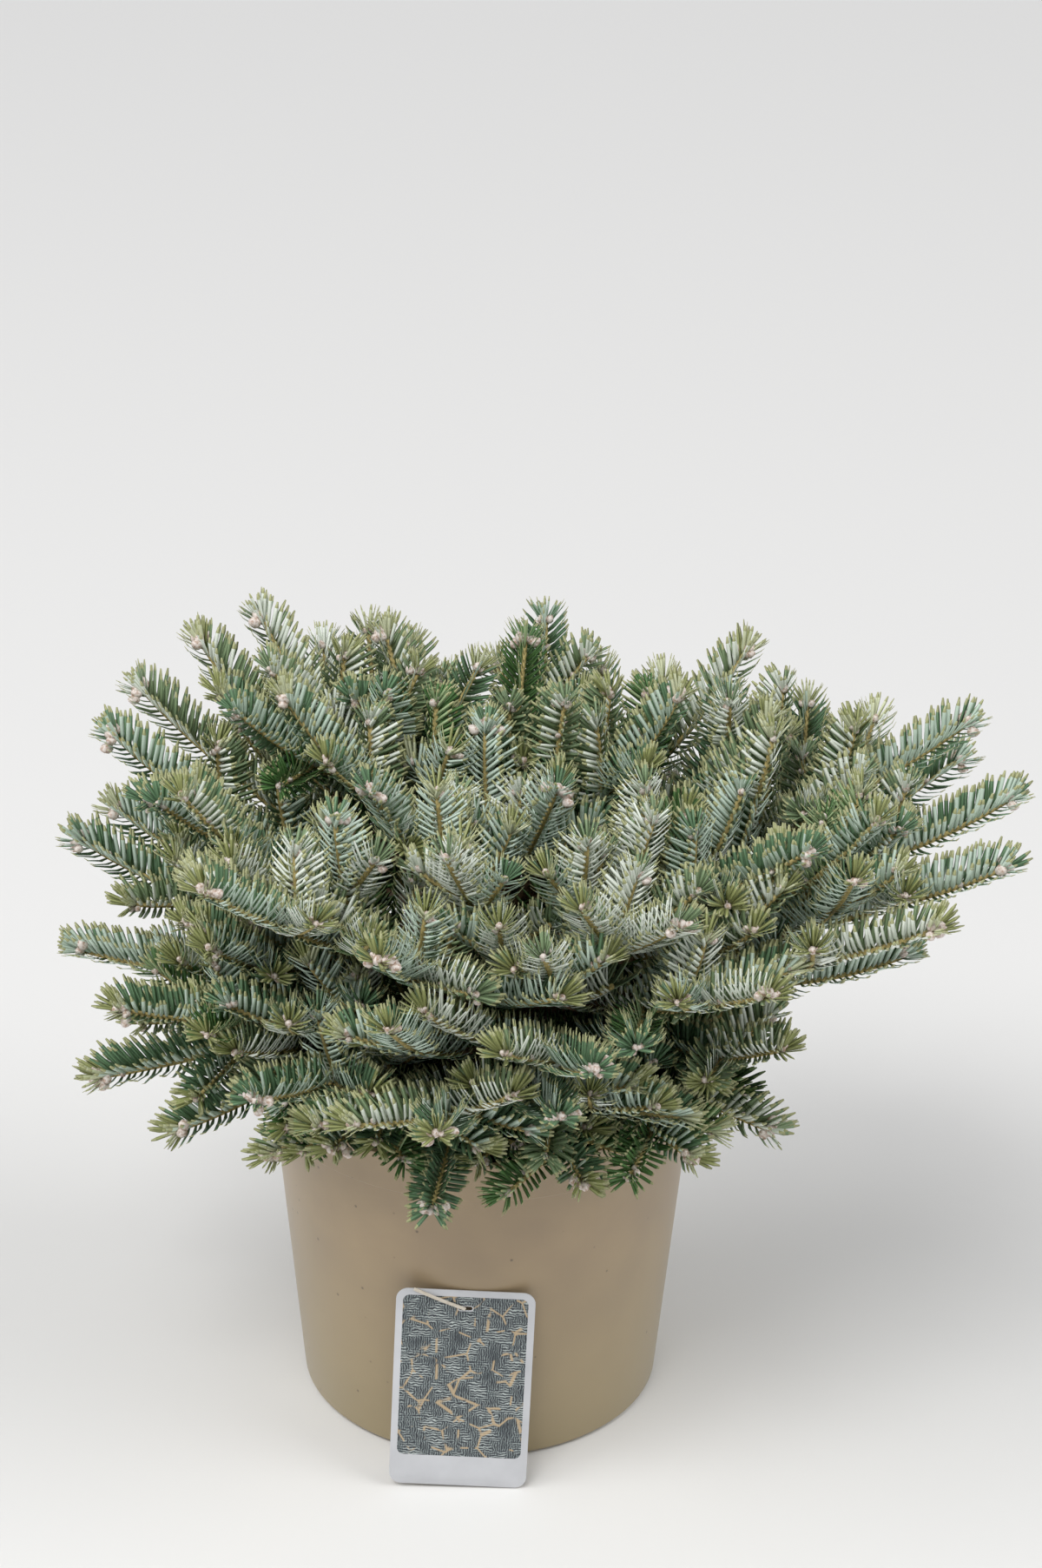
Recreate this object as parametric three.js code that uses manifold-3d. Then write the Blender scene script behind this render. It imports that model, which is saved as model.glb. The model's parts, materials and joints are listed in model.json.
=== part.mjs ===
// A young Korean fir, a low and spreading form, growing in a round nursery pot with a plant label.
// Millimetres, +Z up. The origin is the middle of the pot's flat underside; the fullest side faces -Y.
import * as THREE from "three";
import { mergeVertices } from "three/addons/utils/BufferGeometryUtils.js";
import Module from "manifold-3d";

const wasm = await Module();
wasm.setup();

// ---- Driving dimensions ----

const clearance = 0.3; // between neighbouring pieces
const sliver = 0.15; // edges shorter than this are taken out where blades meet
const pot = {
  height: 215,
  footRadius: 108,
  bandRadius: 124.6, // outside the wall where the rim band starts
  bandHeight: 26,
  bandStep: 1.8, // how far the band stands out
  lipRadius: 130.5,
  lipHeight: 3.5,
  wall: 2.4,
  floor: 3,
  footChamfer: 3,
  edge: 1, // height of the small slopes under the band and under the lip
  holeRadius: 6,
  holeCount: 6,
  holeCircle: 84,
  holeFacets: 8,
  facets: 32,
};
const soil = { top: 197, edgeDrop: 3, flatRadius: 45, facets: 20 };
const trunk = {
  flareRadius: 19,
  flareFall: 9, // how soon the root flare dies away
  footRadius: 13,
  tipRadius: 5,
  top: 334,
  leanX: 6, // how far the tip leans out of plumb
  leanY: -5,
  sides: 10,
  steps: 5,
};
const bough = { footRadius: 4.6, tipRadius: 3, share: 0.26, sides: 6, steps: 2 };
const stem = { footRadius: 3, tipRadius: 1.5, sides: 3, steps: 3, sunk: 6 };
const twigRadius = 1.2;
const rooting = {
  lowest: 221, // on the trunk
  highest: 322,
  natural: 222, // of a stem that rises least, and how much higher one roots for each degree of rise
  perDegree: 1.23,
  flattest: -3,
  apart: 1.2, // between two stems
  overRim: 4, // between a stem and the pot's rim, which lies within this reach of the axis
  rim: { from: 118, to: 136 },
  samples: 60,
};
const growth = {
  leader: 73, // last year's growth at the tip of a stem
  nodeGap: 51, // between the whorls further back on the stem
  nodes: 6,
  bareFoot: 24, // of a stem that leaves the trunk
  lateral: 58,
  upward: 50, // the shoot on top of a whorl
  upwardShare: 0.75, // of the whorls that have one
  sideYears: 2, // of the oldest side branches
  nextYear: 0.9, // length of a leader to the shoot that it prolongs
  nextFork: 0.76, // length of a side shoot to that shoot
  uneven: 0.12, // of every length, at most
  fork: 51, // degrees between a stem and its side shoots
  steep: 43, // degrees between a stem and the shoot on top
  swing: 9, // degrees more or less, at most
  roll: 25, // degrees that a whorl turns round its stem, at most
  rising: 0.16, // how much each shoot turns up from its direction
  leaderRising: 0.06,
  crowding: 30, // least distance between the tips and middles of two shoots
  lowest: 186, // no side shoot ends lower, or higher than the next
  highest: 428,
  shadeRadius: 95, // nothing keeps its needles nearer the middle than this, below the next height
  shadeTop: 360,
  behind: { "-1": 4, 1: 9, up: 14 }, // how far before a node its side shoots branch off
  way: 0.8, // share of its line that a stem keeps for itself
};
const spray = {
  longFrom: 60, // a shorter shoot has three teeth on each side, a longer one four
  halfWidth: 22, // reach of the needles to each side
  firstReach: 0.85, // share of it at the foot, and at the tip of a young shoot
  lastReach: 0.6,
  core: 9, // half width between the teeth
  coreLift: 5,
  foot: 12, // bare length at the start
  neck: 2, // half width there
  thickness: 1.6, // half thickness along the twig
  lift: 16, // how far the needles turn up
  sweep: 7, // how far the needles lean forward, and round the bud of a young shoot
  lastSweep: 12.6,
  sunk: 3, // how far the foot reaches back into the wood it grows from
};
const bud = { radius: 3.4, length: 8 };
const label = {
  width: 80,
  height: 125,
  thickness: 0.9,
  corner: 7,
  footY: -135.5,
  topZ: 124,
  x: -11,
  turn: -2, // degrees, in its own plane
  slotWidth: 8,
  slotHeight: 2.4,
  slotDrop: 10, // from the top edge
};
const tie = { width: 2.6, thickness: 0.5, length: 30, rise: 11.4, bow: 0.8, steps: 8 };

// Each mass of foliage by the place of its foremost bud, seen from the middle of the crown: azimuth
// from +X towards +Y and rise above level in degrees, and reach in mm. A far mass has a bough.
const crownHeight = 235;
// How far a stem bends, as a share of its length: over for one that rises the least, under for one
// that rises high degrees or more.
const arch = { low: -9, high: 15, over: 0.16, under: -0.1 };
const masses = [
  { name: "low_back_right", azimuth: 36, rise: 6, reach: 201 },
  { name: "low_back", azimuth: 74, rise: 8, reach: 168 },
  { name: "low_back_left", azimuth: 112, rise: 7, reach: 160 },
  { name: "low_left_back", azimuth: 150, rise: 5, reach: 198 },
  { name: "low_left", azimuth: 179, rise: 10, reach: 241 },
  { name: "low_left_front", azimuth: -160, rise: 1, reach: 230 },
  { name: "low_left_lower", azimuth: -148, rise: -4, reach: 201 },
  { name: "low_front_left", azimuth: -134, rise: -7, reach: 169 },
  { name: "low_front_middle", azimuth: -118, rise: 1, reach: 170 },
  { name: "low_front", azimuth: -98, rise: -6, reach: 180 },
  { name: "low_front_inner", azimuth: -78, rise: 15, reach: 217 },
  { name: "low_front_right", azimuth: -69, rise: -6, reach: 162 },
  { name: "low_right_lower", azimuth: -48, rise: -4, reach: 176 },
  { name: "low_right_front", azimuth: -28, rise: -6, reach: 187 },
  { name: "low_right", azimuth: -6, rise: 14, reach: 253 },
  { name: "mid_right", azimuth: 1, rise: 26, reach: 336, bough: true },
  { name: "mid_right_back", azimuth: 18, rise: 24, reach: 325, bough: true },
  { name: "mid_back_right", azimuth: 62, rise: 28, reach: 190 },
  { name: "mid_back", azimuth: 103, rise: 30, reach: 180 },
  { name: "mid_left_back", azimuth: 158, rise: 21, reach: 258 },
  { name: "mid_left", azimuth: 173, rise: 23, reach: 260 },
  { name: "mid_left_inner", azimuth: -156, rise: 32, reach: 171 },
  { name: "mid_left_front", azimuth: -151, rise: 16, reach: 236 },
  { name: "mid_front_left", azimuth: -122, rise: 14, reach: 232 },
  { name: "mid_front_outer", azimuth: -95, rise: 15, reach: 245 },
  { name: "mid_front", azimuth: -76, rise: 23, reach: 269 },
  { name: "mid_front_inner", azimuth: -53, rise: 27, reach: 281, bough: true },
  { name: "mid_front_right", azimuth: -30, rise: 26, reach: 312, bough: true },
  { name: "mid_right_front", azimuth: -16, rise: 26, reach: 332, bough: true },
  { name: "high_right", azimuth: 9, rise: 32, reach: 334, bough: true },
  { name: "high_right_back", azimuth: 32, rise: 48, reach: 269 },
  { name: "high_back", azimuth: 78, rise: 62, reach: 227 },
  { name: "high_back_left", azimuth: 121, rise: 60, reach: 236 },
  { name: "high_left_back", azimuth: 145, rise: 53, reach: 272 },
  { name: "high_left_upper", azimuth: 153, rise: 47, reach: 280, bough: true },
  { name: "high_left", azimuth: 161, rise: 40, reach: 281, bough: true },
  { name: "high_left_outer", azimuth: 175, rise: 39, reach: 276 },
  { name: "high_left_front", azimuth: -128, rise: 37, reach: 291, bough: true },
  { name: "high_front", azimuth: -104, rise: 35, reach: 259 },
  { name: "high_front_right", azimuth: -60, rise: 37, reach: 261 },
  { name: "high_right_front", azimuth: -34, rise: 39, reach: 271 },
  { name: "top_middle", azimuth: 0, rise: 90, reach: 189 },
  { name: "top_right", azimuth: 10, rise: 61, reach: 231 },
  { name: "top_left", azimuth: 173, rise: 60, reach: 232 },
  { name: "top_front_left", azimuth: -129, rise: 62, reach: 208 },
  { name: "top_front", azimuth: -56, rise: 68, reach: 192 },
];

const colours = {
  pot: new THREE.MeshStandardMaterial({ color: 0x94866d, roughness: 0.55, metalness: 0 }),
  soil: new THREE.MeshStandardMaterial({ color: 0x33271d, roughness: 0.95, metalness: 0 }),
  label: new THREE.MeshStandardMaterial({ color: 0xb4b9bf, roughness: 0.35, metalness: 0 }),
  tie: new THREE.MeshStandardMaterial({ color: 0xddd6c4, roughness: 0.5, metalness: 0 }),
  bark: new THREE.MeshStandardMaterial({ color: 0x8a6a42, roughness: 0.85, metalness: 0 }),
  needles: new THREE.MeshStandardMaterial({ color: 0x5f8069, roughness: 0.5, metalness: 0 }),
};

// ---- Helpers ----

const up = new THREE.Vector3(0, 0, 1);
const radians = THREE.MathUtils.degToRad;
const mix = THREE.MathUtils.lerp;
const turned = (v, axis, degrees) => v.clone().applyAxisAngle(axis, radians(degrees));

// The same number from 0 to 1 for the same keys, so that the plant always grows alike.
function chance(...keys) {
  const weights = [12.9898, 78.233, 37.719];
  const s = Math.sin(keys.reduce((sum, k, n) => sum + k * weights[n], 0)) * 43758.5453;
  return s - Math.floor(s);
}
const either = (...keys) => 2 * chance(...keys) - 1; // from -1 to 1
const about = (length, ...keys) => length * (1 + growth.uneven * either(...keys));

// A closed geometry as a manifold-3d solid, and back as a named mesh.
function solid(geometry) {
  const bare = geometry.clone();
  bare.deleteAttribute("normal");
  bare.deleteAttribute("uv");
  const merged = mergeVertices(bare, 1e-3);
  return new wasm.Manifold(
    new wasm.Mesh({
      numProp: 3,
      vertProperties: new Float32Array(merged.attributes.position.array),
      triVerts: new Uint32Array(merged.index.array),
    }),
  );
}

function meshOf(name, shape, material) {
  const made = shape.getMesh();
  const geometry = new THREE.BufferGeometry();
  geometry.setAttribute("position", new THREE.BufferAttribute(made.vertProperties, 3));
  geometry.setIndex(new THREE.BufferAttribute(made.triVerts, 1));
  geometry.computeVertexNormals();
  const mesh = new THREE.Mesh(geometry, material);
  mesh.name = name;
  return mesh;
}

// The largest piece of a solid, without loose scraps and sealed hollows.
function mainPiece(shape) {
  return shape.decompose().sort((a, b) => b.volume() - a.volume())[0];
}

function lathe(profile, facets) {
  const points = profile.map(([r, z]) => new THREE.Vector2(r, z));
  return solid(new THREE.LatheGeometry(points, facets).rotateX(Math.PI / 2));
}

// A limb along a curve: a closed cylinder bent to it, with the radius that radiusAt gives from 0 to 1.
function limb(curve, radiusAt, sides, steps, reference = up) {
  const geometry = new THREE.CylinderGeometry(1, 1, 1, sides, steps);
  const place = geometry.attributes.position;
  for (let n = 0; n < place.count; n++) {
    const t = THREE.MathUtils.clamp(place.getY(n) + 0.5, 0, 1);
    const along = curve.getTangent(t);
    const side = reference.clone().cross(along).normalize();
    const over = along.clone().cross(side);
    const radius = radiusAt(t);
    const point = curve
      .getPoint(t)
      .addScaledVector(side, place.getX(n) * radius)
      .addScaledVector(over, place.getZ(n) * -radius);
    place.setXYZ(n, point.x, point.y, point.z);
  }
  return solid(geometry);
}

// ---- Pot, soil and label ----

function makePot() {
  const { height, footRadius, bandRadius, bandHeight, bandStep, wall, floor } = pot;
  const bandFoot = height - bandHeight;
  const lipFoot = height - pot.lipHeight;
  const slope = (bandRadius - footRadius) / bandFoot;
  const bandTop = bandRadius + bandStep + slope * (bandHeight - pot.lipHeight);
  const body = lathe(
    [
      [0, 0],
      [footRadius - pot.footChamfer, 0],
      [footRadius, pot.footChamfer],
      [bandRadius, bandFoot - pot.edge / 2],
      [bandRadius + bandStep, bandFoot + pot.edge / 2],
      [bandTop, lipFoot],
      [pot.lipRadius, lipFoot + pot.edge],
      [pot.lipRadius, height],
      [bandTop - wall, height],
      [bandRadius + bandStep - wall, bandFoot],
      [footRadius - wall + slope * floor, floor],
      [0, floor],
    ],
    pot.facets,
  );
  const holes = [];
  for (let n = 0; n < pot.holeCount; n++) {
    const angle = (2 * Math.PI * (n + 0.5)) / pot.holeCount;
    const hole = new THREE.CylinderGeometry(pot.holeRadius, pot.holeRadius, 4 * floor, pot.holeFacets);
    hole.rotateX(Math.PI / 2);
    hole.translate(pot.holeCircle * Math.cos(angle), pot.holeCircle * Math.sin(angle), 0);
    holes.push(solid(hole));
  }
  return body.subtract(wasm.Manifold.union(holes));
}

function makeSoil() {
  const bandFoot = pot.height - pot.bandHeight;
  const slope = (pot.bandRadius - pot.footRadius) / bandFoot;
  const inside = (z) => pot.footRadius - pot.wall + slope * z - 2 * clearance;
  const edge = soil.top - soil.edgeDrop;
  const foot = pot.floor + clearance;
  return lathe(
    [
      [0, foot],
      [inside(foot), foot],
      [inside(bandFoot), bandFoot],
      [inside(bandFoot), edge],
      [soil.flatRadius, soil.top],
      [0, soil.top],
    ],
    soil.facets,
  );
}

// The card leans with its foot on the ground and its top edge against the pot.
function labelFrame() {
  const lean = Math.asin(THREE.MathUtils.clamp(labelRun() / label.height, 0, 1));
  const turn = new THREE.Matrix4().makeRotationZ(radians(label.turn));
  const stand = new THREE.Matrix4().makeRotationX(Math.PI / 2 - lean);
  const lowest = (label.width / 2) * Math.sin(radians(-label.turn));
  const place = new THREE.Matrix4().makeTranslation(label.x, label.footY, clearance + lowest);
  return place.multiply(stand).multiply(turn);
}

// How far the label's top lies behind its foot.
function labelRun() {
  const slope = (pot.bandRadius - pot.footRadius) / (pot.height - pot.bandHeight);
  const wallY = -(pot.footRadius + slope * label.topZ);
  return wallY - clearance - label.footY;
}

function makeLabel() {
  const { width, height, corner } = label;
  const left = -width / 2;
  const outline = new THREE.Shape();
  outline.moveTo(left + corner, 0);
  outline.lineTo(-left - corner, 0);
  outline.absarc(-left - corner, corner, corner, -Math.PI / 2, 0);
  outline.absarc(-left - corner, height - corner, corner, 0, Math.PI / 2);
  outline.absarc(left + corner, height - corner, corner, Math.PI / 2, Math.PI);
  outline.absarc(left + corner, corner, corner, Math.PI, 1.5 * Math.PI);
  const slot = new THREE.Path();
  const slotTop = height - label.slotDrop;
  slot.moveTo(-label.slotWidth / 2, slotTop);
  slot.lineTo(-label.slotWidth / 2, slotTop - label.slotHeight);
  slot.lineTo(label.slotWidth / 2, slotTop - label.slotHeight);
  slot.lineTo(label.slotWidth / 2, slotTop);
  outline.holes.push(slot);
  const card = new THREE.ExtrudeGeometry(outline, {
    depth: label.thickness,
    bevelEnabled: false,
    curveSegments: 3,
  });
  return solid(card.applyMatrix4(labelFrame()));
}

// The strip that hung the label: out of the slot, over the top edge to the left, on the card's face.
function makeTie() {
  const seat = label.thickness + clearance + tie.thickness;
  const points = [0, 0.1, 0.55, 1].map(
    (t) =>
      new THREE.Vector3(
        -tie.length * t,
        label.height - label.slotDrop - label.slotHeight / 2 + tie.rise * t,
        seat + tie.bow * Math.sin(Math.PI * t),
      ),
  );
  const route = new THREE.CatmullRomCurve3(points);
  const section = new THREE.Shape();
  section.moveTo(-tie.thickness / 2, -tie.width / 2);
  section.lineTo(tie.thickness / 2, -tie.width / 2);
  section.lineTo(tie.thickness / 2, tie.width / 2);
  section.lineTo(-tie.thickness / 2, tie.width / 2);
  const strip = new THREE.ExtrudeGeometry(section, { steps: tie.steps, extrudePath: route });
  return solid(strip.applyMatrix4(labelFrame()));
}

// ---- Trunk, stems and boughs ----

const trunkLine = new THREE.QuadraticBezierCurve3(
  new THREE.Vector3(0, 0, soil.top + clearance),
  new THREE.Vector3(0, 0, (soil.top + clearance + trunk.top) / 2),
  new THREE.Vector3(trunk.leanX, trunk.leanY, trunk.top),
);

function trunkRadius(t) {
  const flare = (trunk.flareRadius - trunk.footRadius) * Math.exp(-t * trunk.flareFall);
  return mix(trunk.footRadius, trunk.tipRadius, t) + flare;
}

// The trunk, or with a margin the room that it takes up.
function makeTrunk(margin) {
  const radius = (t) => trunkRadius(t) + margin;
  return limb(trunkLine, radius, trunk.sides, trunk.steps, new THREE.Vector3(1, 0, 0));
}

// The line of a stem from the trunk's heart, at the height of its root, to the foremost bud of its
// mass. Low ones arch over the rim of the pot and the others sweep up.
function stemLine(mass, height) {
  const azimuth = radians(mass.azimuth);
  const rise = radians(mass.rise);
  const tip = new THREE.Vector3(
    Math.cos(azimuth) * Math.cos(rise),
    Math.sin(azimuth) * Math.cos(rise),
    Math.sin(rise),
  );
  tip.multiplyScalar(mass.reach).add(new THREE.Vector3(0, 0, crownHeight));
  const foot = soil.top + clearance;
  const root = trunkLine.getPoint((height - foot) / (trunk.top - foot));
  const steep = THREE.MathUtils.clamp((mass.rise - arch.low) / (arch.high - arch.low), 0, 1);
  const bend = mix(arch.over, arch.under, steep) * root.distanceTo(tip);
  const middle = root.clone().lerp(tip, 0.5).addScaledVector(up, bend);
  return new THREE.QuadraticBezierCurve3(root, middle, tip);
}

// The points of a stem outside the trunk, with its radius there.
function stemTrack(mass, height) {
  const line = stemLine(mass, height);
  const foot = soil.top + clearance;
  const track = [];
  for (let n = 0; n < rooting.samples; n++) {
    const t = n / (rooting.samples - 1);
    const place = line.getPoint(t);
    const level = Math.min((place.z - foot) / (trunk.top - foot), 1);
    const heart = trunkLine.getPoint(level);
    const thick = mass.bough && t < 2 * bough.share ? bough.footRadius : stem.footRadius;
    const radius = mix(thick, stem.tipRadius, t);
    if (Math.hypot(place.x - heart.x, place.y - heart.y) < trunkRadius(level)) continue;
    track.push({ place, radius });
  }
  return track;
}

// Whether a stem lies over the pot's rim and clear of the others.
function fits(track, others) {
  const aboveRim = pot.height + rooting.overRim;
  for (const { place, radius } of track) {
    const out = Math.hypot(place.x, place.y);
    const overRim = out > rooting.rim.from && out < rooting.rim.to;
    if (place.z - radius < (overRim ? aboveRim : growth.lowest)) return false;
  }
  const clear = (a, b) => a.place.distanceTo(b.place) > a.radius + b.radius + rooting.apart;
  return others.every((other) => track.every((a) => other.every((b) => clear(a, b))));
}

// Roots every stem, from the flattest to the steepest: the steeper the higher, moved as little as
// keeps it clear of those before.
function rootStems() {
  const tracks = [];
  for (const mass of [...masses].sort((a, b) => a.rise - b.rise)) {
    const steeper = Math.max(mass.rise - rooting.flattest, 0);
    const natural = rooting.natural + rooting.perDegree * steeper;
    const heights = [];
    for (let move = 0; move <= rooting.highest - rooting.lowest; move++) {
      heights.push(natural - move, natural + move);
    }
    const height = heights
      .filter((z) => z >= rooting.lowest && z <= rooting.highest)
      .find((z) => fits(stemTrack(mass, z), tracks));
    if (height === undefined) throw new Error(`${mass.name} finds no place on the trunk`);
    tracks.push(stemTrack(mass, height));
    mass.line = stemLine(mass, height);
  }
}

// The stretch of a line from one share of its length to another.
class Stretch extends THREE.Curve {
  constructor(line, from, to) {
    super();
    Object.assign(this, { line, from, to });
  }
  getPoint(t, target = new THREE.Vector3()) {
    return this.line.getPointAt(mix(this.from, this.to, t), target);
  }
}

function makeBough(mass, trunkRoom) {
  const line = new Stretch(mass.line, 0, bough.share);
  const radius = (t) => mix(bough.footRadius, bough.tipRadius, t);
  return mainPiece(limb(line, radius, bough.sides, bough.steps).subtract(trunkRoom));
}

// The stem inside a mass, from the bough's tip or the trunk to the node where its needles start.
function makeStem(mass, trunkRoom) {
  const full = mass.line.getLength();
  const from = mass.bough ? bough.share + (1.5 * clearance) / full : 0;
  const to = Math.max(mass.bare + stem.sunk, from * full + 2 * stem.sunk) / full;
  const radius = (t) => mix(stem.footRadius, stem.tipRadius, t);
  const shape = limb(new Stretch(mass.line, from, to), radius, stem.sides, stem.steps);
  return mainPiece(shape.subtract(trunkRoom));
}

// ---- Growth: the yearly shoots of one mass ----

// A side branch: one shoot, and past its end a leader and two side shoots for each year left.
function grow(shoots, parent, code, start, heading, over, years, length, level) {
  const { mass } = parent;
  const swing = (n) => growth.swing * either(mass.number, code, n);
  const along = heading.clone().addScaledVector(up, growth.rising).normalize();
  const end = start.clone().addScaledVector(along, length);
  const rank = chance(mass.number, code, 31);
  const shoot = { mass, parent, start, end, over, age: years - 1, level, rank };
  shoots.push(shoot);
  if (years < 2) return;
  const leader = turned(along, over, swing(1)).addScaledVector(up, growth.leaderRising);
  const leaderLength = length * growth.nextYear;
  grow(shoots, shoot, code * 4 + 1, end, leader, over, years - 1, leaderLength, level);
  for (const hand of [-1, 1]) {
    const sideways = turned(along, over, hand * (growth.fork + swing(2 + hand)));
    const next = code * 4 + 2 + (hand + 1) / 2;
    const foot = end.clone().addScaledVector(along, -growth.behind[hand]);
    const sideLength = length * growth.nextFork;
    grow(shoots, shoot, next, foot, sideways, over, years - 1, sideLength, level + 1);
  }
}

// The distances along a stem of its tip and of the whorls behind it, as far back as it has needles.
function whorls({ line, number, bough: carried }) {
  const full = line.getLength();
  const foot = carried ? bough.share * full : growth.bareFoot;
  const last = foot + growth.behind.up + stem.sunk;
  const cuts = [full, full - about(growth.leader, number, 3, 0)];
  while (cuts.length < growth.nodes) {
    const next = cuts.at(-1) - about(growth.nodeGap, number, cuts.length, 7);
    if (next < last || (cuts.length > 1 && shaded(line.getPointAt(cuts.at(-1) / full)))) break;
    cuts.push(next);
  }
  return cuts;
}

// All shoots of a mass, from the oldest: the stem's own yearly growths, and at the foot of each a
// whorl of two side branches and often one on top.
function shootsOf(mass) {
  const { line, number } = mass;
  const cuts = whorls(mass);
  const full = cuts[0];
  mass.bare = cuts.at(-1);
  const nodes = cuts.map((distance) => line.getPointAt(distance / full));
  const shoots = [];
  let shoot = null;
  let back = line.getTangentAt(mass.bare / full);
  for (let k = nodes.length - 2; k >= 0; k--) {
    const [end, start] = [nodes[k], nodes[k + 1]];
    const along = end.clone().sub(start).normalize();
    const side = along.clone().cross(up);
    if (side.length() < 0.3) side.copy(along).cross(new THREE.Vector3(0, 1, 0));
    const level = side.normalize().cross(along).normalize();
    const over = turned(level, along, growth.roll * either(number, k, 11));
    const years = Math.min(k + 1, growth.sideYears);
    const branch = (code, behind, heading, length) => {
      const foot = start.clone().addScaledVector(back, -behind);
      grow(shoots, shoot, 100 * (k + 1) + code, foot, heading, over, years, length, 1);
    };
    shoot = { mass, parent: shoot, start, end, over, age: k, level: 0, rank: 0 };
    shoots.push(shoot);
    for (const hand of [-1, 1]) {
      const angle = growth.fork + growth.swing * either(number, k, hand + 5);
      const heading = turned(along, over, hand * angle);
      const length = about(growth.lateral, number, k, hand + 9);
      branch(10 * (hand + 2), growth.behind[hand], heading, length);
    }
    if (k === 0 || chance(number, k, 21) < growth.upwardShare) {
      const across = along.clone().cross(over).normalize();
      const heading = turned(along, across, growth.steep + growth.swing * either(number, k, 23));
      branch(50, growth.behind.up, heading, growth.upward);
    }
    back = along;
  }
  return shoots;
}

const shaded = (place) =>
  place.z < growth.shadeTop && Math.hypot(place.x, place.y) < growth.shadeRadius;

// Shoots that would crowd an older or leading one are left out, as they are shaded in a real crown.
function thinned(shoots) {
  const taken = [];
  const kept = [];
  const inTurn = (a, b) => a.level - b.level || b.age - a.age || a.rank - b.rank;
  for (const shoot of [...shoots].sort(inTurn)) {
    const crowded = taken.some((place) => place.distanceTo(shoot.end) < growth.crowding);
    const orphan = shoot.parent && !kept.includes(shoot.parent);
    const outside = shoot.end.z < growth.lowest || shoot.end.z > growth.highest;
    if (shoot.level > 0 && (crowded || orphan || outside || shaded(shoot.end))) continue;
    kept.push(shoot);
    taken.push(shoot.end, shoot.start.clone().lerp(shoot.end, 0.5));
  }
  return kept;
}

// ---- Foliage ----

// A shoot with its needles: a toothed blade, thick along the twig and sharp at the teeth, that turns
// up at both sides. It lies along +X from the origin, with +Z over it. A shoot of the last year ends
// in a bud; an older one carries fewer needles and is bare at both ends, where others branch off.
function sprayBlade(length, young) {
  const { foot, lift, thickness } = spray;
  const teeth = young ? (length < spray.longFrom ? 3 : 4) : 2;
  const pitch = (length - (young ? foot : 2 * foot)) / teeth;
  const points = [];
  const faces = [];
  const add = (x, y, z) => points.push(x, y, z) / 3 - 1;
  const tail = add(-spray.sunk, 0, 0);
  const tip = add(length + (young ? bud.length : spray.sunk), 0, 0);
  const crests = { 2: [1], 3: [0.6], 4: [0.5, 2.5] }[teeth]; // the ridge's points, counted in teeth
  const turns = { 2: [0, 4], 3: [0, 6], 4: [0, 4, 8] }[teeth]; // the edge points where their fans end
  const ridge = (z) => [tail, ...crests.map((k) => add(foot + k * pitch, 0, z)), tip];
  const ridges = { over: ridge(thickness), under: ridge(-thickness) };
  for (const hand of [1, -1]) {
    const edge = [add(foot * 0.5, hand * spray.neck, 0)];
    for (let k = 0; k < teeth; k++) {
      const last = k === teeth - 1;
      const share = last && young ? spray.lastReach : k === 0 ? spray.firstReach : 1;
      const forward = Math.min(last && young ? spray.lastSweep : spray.sweep, 0.9 * pitch);
      edge.push(add(foot + (k + 0.5) * pitch + forward, hand * share * spray.halfWidth, lift));
      const wide = last ? (young ? bud.radius : spray.neck) : spray.core;
      edge.push(add(foot + (k + 1) * pitch, hand * wide, last ? 0 : spray.coreLift));
    }
    for (const half of [1, -1]) {
      const row = half > 0 ? ridges.over : ridges.under;
      const face = (a, b, c) => faces.push(...(half === hand ? [a, b, c] : [a, c, b]));
      for (let m = 0; m + 1 < row.length; m++) face(row[m], row[m + 1], edge[turns[m]]);
      for (let m = 0; m + 2 < row.length; m++) {
        for (let n = turns[m]; n < turns[m + 1]; n++) face(row[m + 1], edge[n + 1], edge[n]);
      }
    }
  }
  const geometry = new THREE.BufferGeometry();
  geometry.setAttribute("position", new THREE.Float32BufferAttribute(points, 3));
  geometry.setIndex(faces);
  return geometry;
}

// The matrix that lays a shape along +X at start, towards end, with its top towards over.
function layAlong(start, end, over) {
  const x = end.clone().sub(start).normalize();
  const y = over.clone().cross(x).normalize();
  const z = x.clone().cross(y);
  return new THREE.Matrix4().makeBasis(x, y, z).setPosition(start);
}

function makeSpray({ start, end, over, age }) {
  const blade = sprayBlade(start.distanceTo(end), age === 0);
  return solid(blade.applyMatrix4(layAlong(start, end, over)));
}

// A bare length of stem.
function makeTwig({ start, end }) {
  const radius = (t) => mix(stem.tipRadius, twigRadius, t);
  return limb(new THREE.LineCurve3(start, end), radius, stem.sides, 1);
}

// A piece joins its mass only where it keeps clear of everything that belongs to others.
function tooNear(piece, others) {
  const room = piece.boundingBox();
  return others.some(({ shape, box }) => {
    const apart = [0, 1, 2].some(
      (n) => box.min[n] > room.max[n] + clearance || box.max[n] < room.min[n] - clearance,
    );
    return !apart && piece.minGap(shape, 2 * clearance) < clearance;
  });
}
const claim = (shape) => ({ shape, box: shape.boundingBox() });

// ---- The plant ----

rootStems();
masses.forEach((mass, n) => {
  mass.number = n + 1;
});
const shoots = thinned(masses.flatMap(shootsOf));

const potSolid = makePot();
const soilSolid = makeSoil();
const trunkSolid = makeTrunk(0);
const trunkRoom = makeTrunk(1.3 * clearance);

const boughs = masses
  .filter((mass) => mass.bough)
  .map((mass) => ({ name: `bough_${mass.name}`, shape: makeBough(mass, trunkRoom) }));

// The way of each stem stays free for its own mass.
for (const mass of masses) {
  const way = new Stretch(mass.line, mass.bare / mass.line.getLength(), growth.way);
  mass.way = claim(limb(way, () => twigRadius, stem.sides, stem.steps));
  mass.pieces = [claim(makeStem(mass, trunkRoom))];
}

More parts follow.
